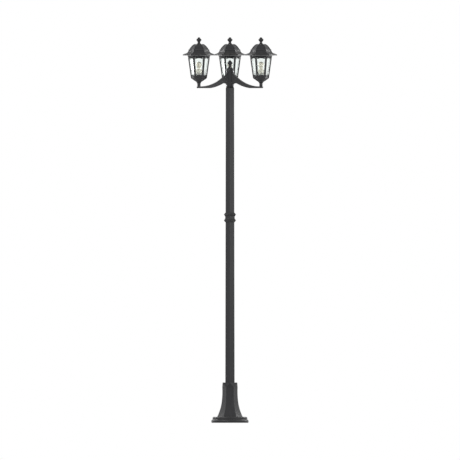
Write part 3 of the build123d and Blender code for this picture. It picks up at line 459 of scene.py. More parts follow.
def studio_floor(paint, studio):
    """A pale matte floor that keeps the post's shadow and fades to white far out."""
    clouds = paint.noise(0.6, detail=3)
    pale = paint.principled(
        Base_Color=paint.colour(clouds, studio.floor_colour, shaded(studio.floor_colour, 0.985)),
        Roughness=clouds * 0.1 + 0.8,
        Specular_IOR_Level=0.1,
    )
    distance = paint.node("ShaderNodeVectorMath", {"operation": "LENGTH"}, {0: paint.place}, output="Value")
    white = paint.node("ShaderNodeEmission", {}, {"Color": WHITE, "Strength": 1.0})
    return paint.mixed(distance.within(0.5, 2.6) * paint.seen, pale, white)


# Each finish's maker and the slot that the finish stands for. No finish has a slot's own name, because
# the frame keeps a material under each of those.
FINISHES = {
    "cast_coat": (cast_coat, "black_casting"),
    "drawn_coat": (drawn_coat, "black_casting"),
    "clear_pane": (clear_pane, "pane_glass"),
    "opal_bulb": (opal_bulb, "opal_glass"),
    "glazed_porcelain": (glazed_porcelain, "porcelain"),
    "turned_brass": (turned_brass, "bulb_cap_metal"),
    "zinc_plate": (zinc_plate, "zinc_steel"),
    "moulded_plastic": (moulded_plastic, "terminal_plastic"),
}


def finish_named(name):
    """A finish's material, made the first time that it is asked for."""
    if name in bpy.data.materials:
        return bpy.data.materials[name]
    paint = Paint(bpy.data.materials.new(name))
    make, _ = FINISHES[name]
    return paint.finish(make(paint, bpy.context.scene.lamp_post_finish))


def paint_nodes(finish, *nodes):
    """Gives CAD nodes a finish in their own material slots."""
    for name in nodes:
        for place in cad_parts[name].material_slots:
            place.material = finish_named(finish)


def of_each_lantern(*names):
    """Those nodes of all three lanterns."""
    return [f"{side}_{name}" for side in LANTERNS for name in names]


# --- Places, in millimetres ---------------------------------------------------------------------


def box_of(node):
    """The lowest and the highest corner of a CAD node."""
    return [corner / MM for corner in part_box(node)]


def lantern_axis(side):
    """Moves a piece from the origin to a lantern's axis."""
    low, high = box_of(f"{side}_neck")
    return Matrix.Translation(((low.x + high.x) / 2, (low.y + high.y) / 2, 0))


def turned_by(degrees, axis="Z"):
    """A turn about an axis through the origin."""
    return Matrix.Rotation(radians(degrees), 4, axis)


class Spoke:
    """A level direction out of an axis, and the one across it."""

    def __init__(self, azimuth):
        self.out = Vector((cos(azimuth), sin(azimuth), 0))
        self.across = Vector((-sin(azimuth), cos(azimuth), 0))

    def point(self, radius, height, sideways=0.0):
        """A point so far out, up and across."""
        return self.out * radius + self.across * sideways + UPWARD * height


def spokes(count, first=0.0):
    """Spokes all round, from a share of a step past +X."""
    return [Spoke(tau * (i + first) / count) for i in range(count)]


CORNERS = spokes(SIDES)
FACES = spokes(SIDES, 0.5)


def arc(first, middle, last, count=10):
    """Points along the circle's arc through three points of a section, under half a turn in each part."""
    start, via, end = (complex(*point) for point in (first, middle, last))
    slant = (end - start) / (via - start)
    centre = start + (via - start) * (slant - abs(slant) ** 2) / (2j * slant.imag)
    turn = phase((via - centre) / (start - centre)) + phase((end - centre) / (via - centre))
    points = [centre + (start - centre) * rect(1, turn * i / count) for i in range(count + 1)]
    return [(point.real, point.imag) for point in points]


def corner_arc(first, middle, last):
    """An arc that is drawn on a face, as a corner shows it: stretched from flat to corner radius."""
    on_face = [(radius * FLAT, height) for radius, height in (first, middle, last)]
    return [(radius / FLAT, height) for radius, height in arc(*on_face)]


def ways_along(path):
    """The way that a path runs at each of its points."""
    ends = [path[0], *path, path[-1]]
    return [(after - before).normalized() for before, after in zip(ends, ends[2:])]


def even(low, high, count):
    """So many steps from low to high, both ends included, or the middle alone where there are none."""
    if count == 0:
        return [(low + high) / 2]
    return [low + (high - low) * i / count for i in range(count + 1)]


def pane_flat_r(height):
    """How far out a pane's front is, at a height over the bars' foot."""
    bar_r = BAR_FOOT_R + (BAR_HEAD_R - BAR_FOOT_R) * height / BAR_HEIGHT
    return (bar_r - BAR_THICKNESS / 2 + PANE_BEHIND_BAR) * FLAT


def half_between_bars(flat_r):
    """Half of the way between two corner bars, on a face that far out."""
    return (flat_r * sin(HALF_SIDE) - BAR_WIDTH / 2) / cos(HALF_SIDE)


# --- Meshes, in millimetres ---------------------------------------------------------------------


def skin(mesh, rings, loop=True, caps=False):
    """Faces between rings of points, each ring closed where loop says."""
    rows = [[mesh.verts.new(point) for point in ring] for ring in rings]
    for low, high in zip(rows, rows[1:]):
        count = len(low)
        for i in range(count if loop else count - 1):
            j = (i + 1) % count
            mesh.faces.new((low[i], low[j], high[j], high[i]))
    if caps:
        mesh.faces.new(reversed(rows[0]))
        mesh.faces.new(rows[-1])
    return rows


def oval(middle, first, second, points):
    """Points round an oval, from its middle and its two half axes."""
    turns = [tau * k / points for k in range(points)]
    return [middle + first * cos(turn) + second * sin(turn) for turn in turns]


def circle(radius, height, points=ROUND):
    """A level ring of points."""
    return oval(UPWARD * height, RIGHTWARD * radius, REARWARD * radius, points)


def bead(mesh, path, across, half_widths, height, points=12):
    """A rounded rib along a path that stays square to a level direction, drawn in at its ends."""
    drawn_in = 0.35
    shares = [drawn_in, *[1.0] * (len(path) - 2), drawn_in]
    rings = []
    for point, along, half_width, share in zip(path, ways_along(path), half_widths, shares):
        out = along.cross(across).normalized()
        rings.append(oval(point, across * (half_width * share), out * (height * share), points))
    skin(mesh, rings, caps=True)


def level_bead(mesh, radius, height, reach, rise):
    """A rounded moulding round a hexagon, by its corner radius."""
    rings = [
        oval(corner.point(radius, height), corner.out * (reach / FLAT), UPWARD * rise, 10)
        for corner in (*CORNERS, CORNERS[0])
    ]
    skin(mesh, rings)


def turned(mesh, profile, segments=64):
    """A lathe-turned skin from (radius, height) points, round the vertical axis."""
    round_about = spokes(segments)
    rings = [
        [spoke.point(radius, height) for radius, height in profile]
        for spoke in (*round_about, round_about[0])
    ]
    skin(mesh, rings, loop=False)


def ring_bead(mesh, radius, height, reach, rise):
    """A round moulding with an oval section."""
    turns = [tau * k / 12 for k in range(13)]
    turned(mesh, [(radius + reach * cos(turn), height + rise * sin(turn)) for turn in turns])


def thread(mesh, radius, depth, pitch, low, high, below, above, points=ROUND, per_turn=12):
    """A closed rod with a thread that runs out at both ends, between plain (radius, height) rings."""
    count = round((high - low) / pitch * per_turn)
    rings = [circle(*ring, points) for ring in below]
    for i, height in enumerate(even(low, high, count)):
        ease = min(1.0, 2 * i / per_turn, 2 * (count - i) / per_turn)
        ring = []
        for k in range(points):
            wave = 0.5 - 0.5 * cos(tau * (height / pitch - k / points))
            ring.append(Spoke(tau * k / points).point(radius - depth * (1 - ease * wave), height))
        rings.append(ring)
    rings += [circle(*ring, points) for ring in above]
    skin(mesh, rings, caps=True)


def hexagon(across_flats, height, share=1.0, limit=None):
    """A level ring of points on a hexagon, its corners cut off at a radius where limit says."""
    ring = []
    for k in range(ROUND):
        azimuth = tau * k / ROUND
        off_flat = (azimuth + HALF_SIDE) % (2 * HALF_SIDE) - HALF_SIDE
        out = share * across_flats / 2 / cos(off_flat)
        ring.append(Spoke(azimuth).point(min(out, limit) if limit else out, height))
    return ring


# A screw head's outline, as shares of its radius and its height
DOMED_HEAD = ((1.0, 0.12), (0.97, 0.42), (0.86, 0.74), (0.7, 0.93), (0.6, 1.0))
CHEESE_HEAD = ((1.0, 0.0), (1.0, 0.88), (0.93, 1.0), (0.66, 1.0))
SOCKET = ((1.06, 1.0), (1.0, 0.94), (1.0, 0.35), (0.2, 0.22))  # shares of across flats and head height


def socket_screw(mesh, head_r, head_height, across_flats, shank_r, shank_length, outline=DOMED_HEAD):
    """A screw that points down -Z from its seat at the origin, with a hexagon socket in its head."""
    rings = [circle(shank_r * 0.7, -shank_length), circle(shank_r, -shank_length + shank_r * 0.3)]
    rings += [circle(shank_r, 0), circle(head_r, 0)]
    rings += [circle(head_r * out, head_height * up) for out, up in outline]
    rings += [hexagon(across_flats, head_height * up, share) for share, up in SOCKET]
    skin(mesh, rings, caps=True)


def hex_nut(mesh, across_flats, bore_r, low, high):
    """A nut with chamfered corners and a bore."""
    limit = across_flats / 2 * 1.03
    drop = (across_flats / 2 / FLAT - limit) * 0.6
    rings = [
        circle(bore_r, low),
        hexagon(across_flats, low, limit=limit),
        hexagon(across_flats, low + drop),
        hexagon(across_flats, high - drop),
        hexagon(across_flats, high, limit=limit),
        circle(bore_r, high),
    ]
    skin(mesh, [*rings, rings[0]])


def pearl(mesh, middle, out, radius):
    """Half a ball that stands out of a face."""
    rows, columns = 4, 10
    across = out.cross(UPWARD)
    rings = []
    for i in range(rows):
        tilt = pi / 2 * i / rows
        flat_r = radius * cos(tilt)
        rings.append(oval(middle + out * (radius * sin(tilt)), across * flat_r, UPWARD * flat_r, columns))
    made = skin(mesh, rings)
    mesh.faces.new(reversed(made[0]))
    tip = mesh.verts.new(middle + out * radius)
    for k in range(columns):
        mesh.faces.new((made[-1][k], made[-1][(k + 1) % columns], tip))


def linked(name, data):
    """A new object in the scene."""
    made = bpy.data.objects.new(name, data)
    bpy.context.scene.collection.objects.link(made)
    return made


def linked_mesh(name, mesh, material):
    """Ends a mesh as an object of one material."""
    data = bpy.data.meshes.new(name)
    mesh.to_mesh(data)
    mesh.free()
    data.materials.append(material)
    return linked(name, data)


def piece(name, mesh, finish, body="post", at=None):
    """Ends a mesh as an object in metres, with a finish, on a body."""
    to_metres = Matrix.Scale(MM, 4)
    bmesh.ops.transform(mesh, matrix=to_metres @ at if at else to_metres, verts=mesh.verts)
    bmesh.ops.remove_doubles(mesh, verts=mesh.verts, dist=MERGE)
    bmesh.ops.recalc_face_normals(mesh, faces=mesh.faces)
    for edge in mesh.edges:
        edge.smooth = len(edge.link_faces) != 2 or edge.calc_face_angle() < CREASE
    for face in mesh.faces:
        face.smooth = True
    made = linked_mesh(name, mesh, finish_named(finish))
    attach(made, body)
    return made


def on_lanterns(*kinds, body="post"):
    """Pieces on each lantern. A kind has a name, the node whose box it fits, its maker and its finish."""
    made = []
    for side in LANTERNS:
        for name, node, make, finish in kinds:
            mesh = bmesh.new()
            make(mesh, *box_of(f"{side}_{node}"))
            made.append(piece(f"{side}_{name}", mesh, finish, body.format(side), lantern_axis(side)))
    return made


def copied(name, places, make, *sizes, finish="zinc_plate", **options):
    """A piece that has what a function makes at each of several places."""
    mesh = bmesh.new()
    for at in places:
        before = len(mesh.verts)
        make(mesh, *sizes, **options)
        mesh.verts.ensure_lookup_table()
        bmesh.ops.transform(mesh, matrix=at, verts=mesh.verts[before:])
    return piece(name, mesh, finish)


# --- Operators ----------------------------------------------------------------------------------


class LAMPPOST_OT_castings(bpy.types.Operator):
    """Coats every casting and the drawn pole"""

    bl_idname = "lamp_post.castings"
    bl_label = "Castings"

    def execute(self, context):
        """Paints the nodes."""
        paint_nodes("cast_coat", *CASTINGS, *of_each_lantern(*LANTERN_CASTINGS))
        paint_nodes("drawn_coat", *EXTRUSIONS)
        return {"FINISHED"}


class LAMPPOST_OT_roof_trim(bpy.types.Operator):
    """Raises ribs on each roof's corners and beads round it"""

    bl_idname = "lamp_post.roof_trim"
    bl_label = "Roof trim"

    def execute(self, context):
        """Makes the trim of each roof."""
        on_lanterns(("roof_trim", "roof", self.ribs_and_beads, "cast_coat"), body="{}_roof_body")
        return {"FINISHED"}

    def ribs_and_beads(self, mesh, low, high):
        """A rib up each corner and three beads across them."""
        trim = bpy.context.scene.lamp_post_trim
        section = [HIP_FOOT, EAVE_SWEEP[0], *corner_arc(*EAVE_SWEEP)[1:], *DOME_FOOT]
        section += corner_arc(*DOME)[1:] + corner_arc(*DOME_CAP)[1:]
        half_widths = [trim.hip_width / MM / 2] * len(section)
        stand_out = trim.bead_height / MM
        for corner in CORNERS:
            path = [corner.point(radius, low.z + height) for radius, height in section]
            bead(mesh, path, corner.across, half_widths, trim.hip_height / MM)
        level_bead(mesh, 60.5, low.z + 32.0, reach=stand_out, rise=2.4)
        level_bead(mesh, 90.5, low.z + 7.0, reach=1.5, rise=stand_out)
        level_bead(mesh, 37.0, low.z + 60.0, reach=1.2, rise=1.0)


class LAMPPOST_OT_finials(bpy.types.Operator):
    """Rings the finials and gadroons their buds"""

    bl_idname = "lamp_post.finials"
    bl_label = "Finials"

    def execute(self, context):
        """Makes the trim of each finial."""
        for side in LANTERNS:
            sizes = {"bud_r": 14.6, "bud_height": 25.5, "stem_r": 8.0, "ring_heights": (6.5, 17.0)}
            self.dress(context, f"{side}_finial", f"{side}_finial_body", **sizes)
        sizes = {"bud_r": 15.0, "bud_height": 31.5, "stem_r": 8.5, "ring_heights": (9.0, 20.0)}
        self.dress(context, "post_finial", "post", **sizes)
        return {"FINISHED"}

    def dress(self, context, node, body, bud_r, bud_height, stem_r, ring_heights):
        """Two rings round a finial's stem, one round its bud, and the gadroons."""
        low, high = box_of(node)
        mesh = bmesh.new()
        lower, upper = ring_heights
        ring_bead(mesh, stem_r, low.z + lower, reach=1.5, rise=1.2)
        ring_bead(mesh, stem_r + 0.4, low.z + upper, reach=1.9, rise=1.5)
        ring_bead(mesh, bud_r, low.z + bud_height, reach=0.9, rise=1.3)
        count = context.scene.lamp_post_trim.gadroon_count
        self.gadroons(mesh, count, low.z, bud_r, bud_height, high.z - low.z)
        at = Matrix.Translation(((low.x + high.x) / 2, (low.y + high.y) / 2, 0))
        piece(f"{node}_trim", mesh, "cast_coat", body, at)

    def gadroons(self, mesh, count, seat, bud_r, bud_height, tip):
        """Ribs up the bud's shoulder, drawn together at the tip."""
        shoulder = (bud_r * 0.62, bud_height + (tip - bud_height) * 0.42)
        swell = ((bud_r + shoulder[0]) / 2 + 1.15, (bud_height + shoulder[1]) / 2 + 0.9)
        section = arc((bud_r, bud_height + 1.2), swell, shoulder, 6)
        section += [(bud_r * 0.4, tip * 0.915), (bud_r * 0.18, tip * 0.985)]
        half_widths = [radius * pi / count * 0.86 for radius, _ in section]
        for spoke in spokes(count):
            path = [spoke.point(radius, seat + height) for radius, height in section]
            bead(mesh, path, spoke.across, half_widths, height=0.9, points=8)


class LAMPPOST_OT_crowns(bpy.types.Operator):
    """Pearls round each crown and hangs an arched strip over each pane"""

    bl_idname = "lamp_post.crowns"
    bl_label = "Crowns"

    PEARL_SINK = 0.2  # how deep a pearl sits in the crown's face
    STRIP = (0.1, 2.0)  # a strip's back and front, before the pane
    ARCH_STEPS = 18
    ARCH_POWER = 2.4  # how square the arch is

    def execute(self, context):
        """Makes the crowns' trim."""
        on_lanterns(("crown_trim", "crown_ring", self.crown, "cast_coat"))
        return {"FINISHED"}

    def crown(self, mesh, low, high):
        """Two beads, and each face's pearls and strip."""
        trim = bpy.context.scene.lamp_post_trim
        band = (low.z + high.z) / 2
        level_bead(mesh, CROWN_R + 2.2, (band + high.z) / 2, reach=1.1, rise=2.2)
        level_bead(mesh, CROWN_R, low.z + 0.8, reach=0.8, rise=0.7)
        for face in FACES:
            self.pearls(mesh, trim, face, (low.z + band) / 2 + 0.6)
            self.arch(mesh, trim, face, low.z)

    def pearls(self, mesh, trim, face, height):
        """One face's row of pearls."""
        radius = trim.pearl_radius / MM
        half = CROWN_R / 2 - radius
        for sideways in even(-half, half, trim.pearl_count - 1):
            pearl(mesh, face.point(CROWN_R * FLAT - self.PEARL_SINK, height, sideways), face.out, radius)

    def arch(self, mesh, trim, face, head):
        """The strip over one pane, thin, with a hollowed lower edge and a bead along it."""
        crown, drop = trim.arch_crown / MM, trim.arch_drop / MM
        back, front = self.STRIP
        rows, edge = [], []
        for share in even(-1, 1, self.ARCH_STEPS):
            low = crown + (drop - crown) * abs(share) ** self.ARCH_POWER
            ring = []
            for before, down in ((back, 0), (front, 0), (front, low), (back, low)):
                flat_r = pane_flat_r(BAR_HEIGHT - down)
                ring.append(face.point(flat_r + before, head - down, share * half_between_bars(flat_r)))
            rows.append(ring)
            edge.append((ring[2] + ring[3]) / 2 + face.out * 0.5)
        skin(mesh, rows, caps=True)
        bead(mesh, edge, face.out, [1.5] * len(edge), height=0.9, points=8)


class LAMPPOST_OT_bars(bpy.types.Operator):
    """Runs a bead up each corner bar"""

    bl_idname = "lamp_post.bars"
    bl_label = "Corner bars"

    SHARES = (0.01, 0.03, 0.25, 0.5, 0.75, 0.965, 0.985)  # of a bar's height
    HALF_WIDTH = 2.4
    STAND_OUT = 1.4

    def execute(self, context):
        """Makes the bars' beads."""
        on_lanterns(("bar_beads", "corner_bars", self.beads, "cast_coat"))
        return {"FINISHED"}

    def beads(self, mesh, low, high):
        """One lantern's six beads."""
        foot_r = BAR_FOOT_R + BAR_THICKNESS / 2
        lean = BAR_HEAD_R - BAR_FOOT_R
        for corner in CORNERS:
            path = [
                corner.point(foot_r + lean * share, low.z + (high.z - low.z) * share) for share in self.SHARES
            ]
            bead(mesh, path, corner.across, [self.HALF_WIDTH] * len(path), self.STAND_OUT)


class LAMPPOST_OT_sills(bpy.types.Operator):
    """Frames each panel of the floor rings, and reeds the cups below them"""

    bl_idname = "lamp_post.sills"
    bl_label = "Sills and cups"

    PANEL = ((0, -0.2), (0, 0.2), (1.3, 1.1), (1.9, 1.1))  # each step in from its edge and out of the face
    REED_SHARES = (0.04, 0.1, 0.3, 0.5, 0.7, 0.86, 0.92)  # of the way from a cup's knee to its rim
    REED_SPREAD = 0.88  # of a face's half width, to the last reed's middle
    REED_WIDTH = 0.9  # of the space that a reed has
    REED_HEIGHT = 1.3

    def execute(self, context):
        """Makes the panels' mouldings and the cups' reeds."""
        on_lanterns(
            ("sills", "floor_ring", self.sill, "cast_coat"),
            ("cup_reeds", "cup", self.cup, "cast_coat"),
        )
        return {"FINISHED"}

    def sill(self, mesh, low, high):
        """Two rails and a raised field on each face of a floor ring."""
        flat_r = (high.y - low.y) / 2
        half = half_between_bars(flat_r)
        for face in FACES:
            for height, reach, rise in ((high.z - 1.9, 2.0, 1.9), (low.z + 1.6, 1.4, 1.5)):
                ends = [face.point(flat_r, height, sideways) for sideways in (-half, half)]
                skin(mesh, [oval(end, face.out * reach, UPWARD * rise, 10) for end in ends], caps=True)
            self.panel(mesh, face, flat_r, half - 2.2, low.z + 5.2, high.z - 6.2)

    def panel(self, mesh, face, flat_r, half, low, high):
        """A raised field with sloping sides."""
        rings = []
        for inset, reach in self.PANEL:
            right, foot, head = half - inset, low + inset, high - inset
            corners = ((-right, foot), (right, foot), (right, head), (-right, head))
            rings.append([face.point(flat_r + reach, height, sideways) for sideways, height in corners])
        skin(mesh, rings, caps=True)

    def cup(self, mesh, low, high):
        """A fan of reeds on each face of a cup, between two beads."""
        for face in FACES:
            self.reeds(mesh, face, low.z, bpy.context.scene.lamp_post_trim.reed_count)
        level_bead(mesh, CUP_KNEE[0], low.z + CUP_KNEE[1], reach=1.0, rise=1.1)
        level_bead(mesh, CUP_RIM[0] - 0.6, high.z - 0.4, reach=1.1, rise=1.1)

    def reeds(self, mesh, face, seat, count):
        """One face's reeds."""
        for lateral in even(-self.REED_SPREAD, self.REED_SPREAD, count - 1):
            path, half_widths = [], []
            for share in self.REED_SHARES:
                corner_r, height = (knee + (rim - knee) * share for knee, rim in zip(CUP_KNEE, CUP_RIM))
                half = corner_r * FLAT * tan(HALF_SIDE)
                path.append(face.point(corner_r * FLAT, seat + height, lateral * half))
                half_widths.append(self.REED_WIDTH * half / count)
            bead(mesh, path, face.across, half_widths, self.REED_HEIGHT, points=8)


class LAMPPOST_OT_arm_rims(bpy.types.Operator):
    """Runs a bead inside the edges of each arm's flat sides"""

    bl_idname = "lamp_post.arm_rims"
    bl_label = "Arm rims"

    INSET = 1.7  # from the arm's edge to the bead's middle
    HALF_WIDTH = 1.5
    STAND_OUT = 1.0

    def execute(self, context):
        """Makes the arms' beads."""
        sweep = self.long_sweep()
        upper = arc(*ARM_TOP, sweep[0], count=8) + sweep[1:]
        lower = [ARM_UNDER_TIP, *arc(*ARM_UNDER, count=14), *arc(*ARM_HUMP)[1:]]
        foot = box_of("hub")[0].z
        for side, degrees in LANTERNS.items():
            mesh = bmesh.new()
            for face in (-ARM_HALF_THICKNESS, ARM_HALF_THICKNESS):
                for section in (upper, lower):
                    self.rim(mesh, [Vector((face, out, foot + up)) for out, up in section])
            piece(f"{side}_arm_rims", mesh, "cast_coat", at=turned_by(degrees))
        return {"FINISHED"}

    def long_sweep(self):
        """Points of the arm's long upper sweep, which is level at its tip."""
        radius = ARM_TOP_SWEEP_R
        distances = even(ARM_TOP_SWEEP_START, ARM_REACH, 24)
        return [(out, radius - (radius**2 - (ARM_REACH - out) ** 2) ** 0.5) for out in distances]

    def rim(self, mesh, edge):
        """One bead, set in from the edge that it follows."""
        ways = ways_along(edge)
        path = [point + way.cross(RIGHTWARD) * self.INSET for point, way in zip(edge, ways)]
        rings = []
        for point, way in zip(path, ways_along(path)):
            sideways = RIGHTWARD.cross(way) * self.HALF_WIDTH
            rings.append(oval(point, sideways, RIGHTWARD * self.STAND_OUT, 10))
        skin(mesh, rings, caps=True)


class LAMPPOST_OT_glazing(bpy.types.Operator):
    """Gives the panes their glass and holds each with two bent tabs"""

    bl_idname = "lamp_post.glazing"
    bl_label = "Glazing"

    TAB_SIDEWAYS = 9.0
    TAB_HALF_WIDTH = 2.4
    TAB_SHEET = 0.7 * 0.7  # the sheet's thickness, as it shows out and up
    TAB_SHARE = 0.08  # of a pane's height that a tab stands

    def execute(self, context):
        """Paints the panes and makes their tabs."""
        paint_nodes("clear_pane", *of_each_lantern("panes"))
        on_lanterns(("pane_tabs", "panes", self.tabs, "zinc_plate"))
        return {"FINISHED"}

    def tabs(self, mesh, low, high):
        """Two strips of metal bent up behind each pane's foot."""
        rise = (high.z - low.z) * self.TAB_SHARE
        foot_r = pane_flat_r(PANE_FOOT) - PANE_DEPTH
        head_r = pane_flat_r(PANE_FOOT + rise) - PANE_DEPTH
        side_view = [(foot_r - 7.0, 0.1), (foot_r - 1.2, 0.1), (foot_r - 0.2, 1.0)]
        side_view += [(head_r - 0.3, rise), (head_r - 1.6, rise + 2.0)]
        for face in FACES:
            for middle in (-self.TAB_SIDEWAYS, self.TAB_SIDEWAYS):
                left, right = middle - self.TAB_HALF_WIDTH, middle + self.TAB_HALF_WIDTH
                corners = ((left, 0), (right, 0), (right, self.TAB_SHEET), (left, self.TAB_SHEET))
                rings = [
                    [face.point(radius - up, low.z + height + up, sideways) for sideways, up in corners]
                    for radius, height in side_view
                ]
                skin(mesh, rings, caps=True)


class LAMPPOST_OT_lampholders(bpy.types.Operator):
    """Flutes each porcelain lampholder and lips its mouth with brass"""

    bl_idname = "lamp_post.lampholders"
    bl_label = "Lampholders"

    FLUTE_HEIGHTS = (10.0, 11.2, 19.0, 26.0, 27.2)  # over the holder's foot
    FLUTE_WIDTH = 0.72  # of the space that a flute has
    LIP = (  # radius, height over the holder's mouth
        *((13.55, -6.0), (13.55, 0.1), (13.8, 0.5), (15.6, 0.5), (15.9, 0.1)),
        *((15.9, -0.2), (14.2, -0.2), (14.2, -6.0), (13.55, -6.0)),
    )

    def execute(self, context):
        """Paints the holders and makes their flutes and lips."""
        paint_nodes("glazed_porcelain", *of_each_lantern("lampholder"))
        on_lanterns(
            ("holder_flutes", "lampholder", self.flutes, "glazed_porcelain"),
            ("holder_lip", "lampholder", self.lip, "turned_brass"),
        )
        return {"FINISHED"}

    def flutes(self, mesh, low, high):
        """Upright ribs round a holder, between two rings."""
        radius = (high.x - low.x) / 2
        count = bpy.context.scene.lamp_post_trim.flute_count
        half_widths = [radius * pi / count * self.FLUTE_WIDTH] * len(self.FLUTE_HEIGHTS)
        for spoke in spokes(count):
            path = [spoke.point(radius, low.z + height) for height in self.FLUTE_HEIGHTS]
            bead(mesh, path, spoke.across, half_widths, height=1.1, points=8)
        for height in (low.z + 9.2, high.z - 5.0):
            ring_bead(mesh, radius, height, reach=0.8, rise=0.9)

    def lip(self, mesh, low, high):
        """A thin turned sleeve in a holder's mouth."""
        turned(mesh, [(radius, high.z + height) for radius, height in self.LIP])


class LAMPPOST_OT_bulbs(bpy.types.Operator):
    """Gives each bulb opal glass and a threaded brass cap"""

    bl_idname = "lamp_post.bulbs"
    bl_label = "Bulbs"

    # Radius, and height over the cap's foot or under its head
    CONTACT = ((3.4, 0.0), (4.6, 0.5), (5.0, 1.2), (5.0, 1.8), (10.2, 3.4), (11.8, 4.6))
    SKIRT = ((11.8, -3.2), (12.1, -2.6), (12.1, -0.5), (11.4, 0.0))
    THREAD_DEPTH = 1.2
    THREAD_PITCH = 3.62

    def execute(self, context):
        """Paints the glass and makes the caps."""
        paint_nodes("opal_bulb", *of_each_lantern("bulb_glass"))
        caps = on_lanterns(("cap_thread", "bulb_cap", self.cap, "turned_brass"), body="{}_bulb_body")
        for node, cap in zip(of_each_lantern("bulb_cap"), caps):
            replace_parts(cap, node)
        return {"FINISHED"}

    def cap(self, mesh, low, high):
        """A contact, a thread and a skirt."""
        below = [(radius, low.z + height) for radius, height in self.CONTACT]
        above = [(radius, high.z + height) for radius, height in self.SKIRT]
        radius = (high.x - low.x) / 2
        thread(mesh, radius, self.THREAD_DEPTH, self.THREAD_PITCH, low.z + 5.0, high.z - 3.6, below, above)


class LAMPPOST_OT_fastenings(bpy.types.Operator):
    """Makes the screws, nuts and stud bolts with sockets, chamfers and threads, and plates the rod, tubes and
    bridges
    """

    bl_idname = "lamp_post.fastenings"
    bl_label = "Fastenings"

    # Head radius and height, socket across flats, shank radius and length
    ARM_SCREW = (3.5, 2.4, 2.5, 2.0, 10.5)
    STRAP_SCREW = (3.3, 2.2, 2.5, 1.8, 5.7)
    COLUMN_SCREW = (5.0, 6.0, 5.0, 3.0, 30.0)

    ARM_SCREW_INSET = 5.5  # from the hub's foot and head
    STRAP_SCREW_REACH = 60.0 * FLAT - 4.4
    COLUMN_SCREW_RING_R = 50.0
    COLUMN_SCREW_AZIMUTHS = (-90, 30, 150)
    BOLT_HEAD = (10.0, 2.5)  # across flats, bore radius
    BOLT_HEAD_HEIGHT = 4.0
    BOLT_PLAIN_R = 2.6
    BOLT_THREAD = (3.0, 0.4, 1.0)  # radius, depth, pitch
    BOLT_THREAD_LENGTH = 34.0
    TUBE_NUT = (14.0, 4.95)  # across flats, bore radius

    def execute(self, context):
        """Makes each kind of fastening."""
        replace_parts(self.arm_screws(), "arm_screws")
        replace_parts(self.strap_screws(), "strap_screws")
        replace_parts(self.column_screws(), "column_screws")
        axes = [lantern_axis(side) for side in LANTERNS]
        low, high = box_of("bridge_studs")
        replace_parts(copied("bridge_bolts", axes, self.bolt, low.z, high.z), "bridge_studs")
        low, high = box_of("tube_nuts")
        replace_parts(copied("tube_hex_nuts", axes, hex_nut, *self.TUBE_NUT, low.z, high.z), "tube_nuts")
        paint_nodes("zinc_plate", "tie_rod", "tie_rod_nut", "pole_set_screws")
        paint_nodes("zinc_plate", *of_each_lantern("bridge", "threaded_tube"))
        return {"FINISHED"}

    def arm_screws(self):
        """Two button head screws through each arm's flange."""
        low, high = box_of("hub")
        seat = (high.y - low.y) / 2 + ARM_FLANGE
        places = [
            turned_by(degrees) @ Matrix.Translation((0, seat, height)) @ turned_by(-90, "X")
            for degrees in LANTERNS.values()
            for height in (low.z + self.ARM_SCREW_INSET, high.z - self.ARM_SCREW_INSET)
        ]
        return copied("arm_button_screws", places, socket_screw, *self.ARM_SCREW)

    def strap_screws(self):
        """Two button head screws through each bridge."""
        places = []
        for side, degrees in LANTERNS.items():
            low, high = box_of(f"{side}_crown_ring")
            for reach in (-self.STRAP_SCREW_REACH, self.STRAP_SCREW_REACH):
                place = Matrix.Translation((0, reach, (low.z + high.z) / 2))
                places.append(lantern_axis(side) @ turned_by(degrees) @ place)
        return copied("strap_button_screws", places, socket_screw, *self.STRAP_SCREW)

    def column_screws(self):
        """Three socket screws that hold the column from below."""
        seat = box_of("column_screws")[0].z + self.COLUMN_SCREW[1]
        places = []
        for azimuth in self.COLUMN_SCREW_AZIMUTHS:
            place = Spoke(radians(azimuth)).point(self.COLUMN_SCREW_RING_R, seat)
            places.append(Matrix.Translation(place) @ turned_by(180, "X"))
        return copied("column_socket_screws", places, socket_screw, *self.COLUMN_SCREW, outline=CHEESE_HEAD)

    def bolt(self, mesh, low, high):
        """A long hexagon bolt, threaded where the finial goes."""
        foot = high - self.BOLT_THREAD_LENGTH
        plain = [(self.BOLT_PLAIN_R, low + 0.2), (self.BOLT_PLAIN_R, foot - 0.5)]
        hex_nut(mesh, *self.BOLT_HEAD, low, low + self.BOLT_HEAD_HEIGHT)
        thread(mesh, *self.BOLT_THREAD, foot, high - 0.4, plain, [(2.2, high)], points=24, per_turn=8)


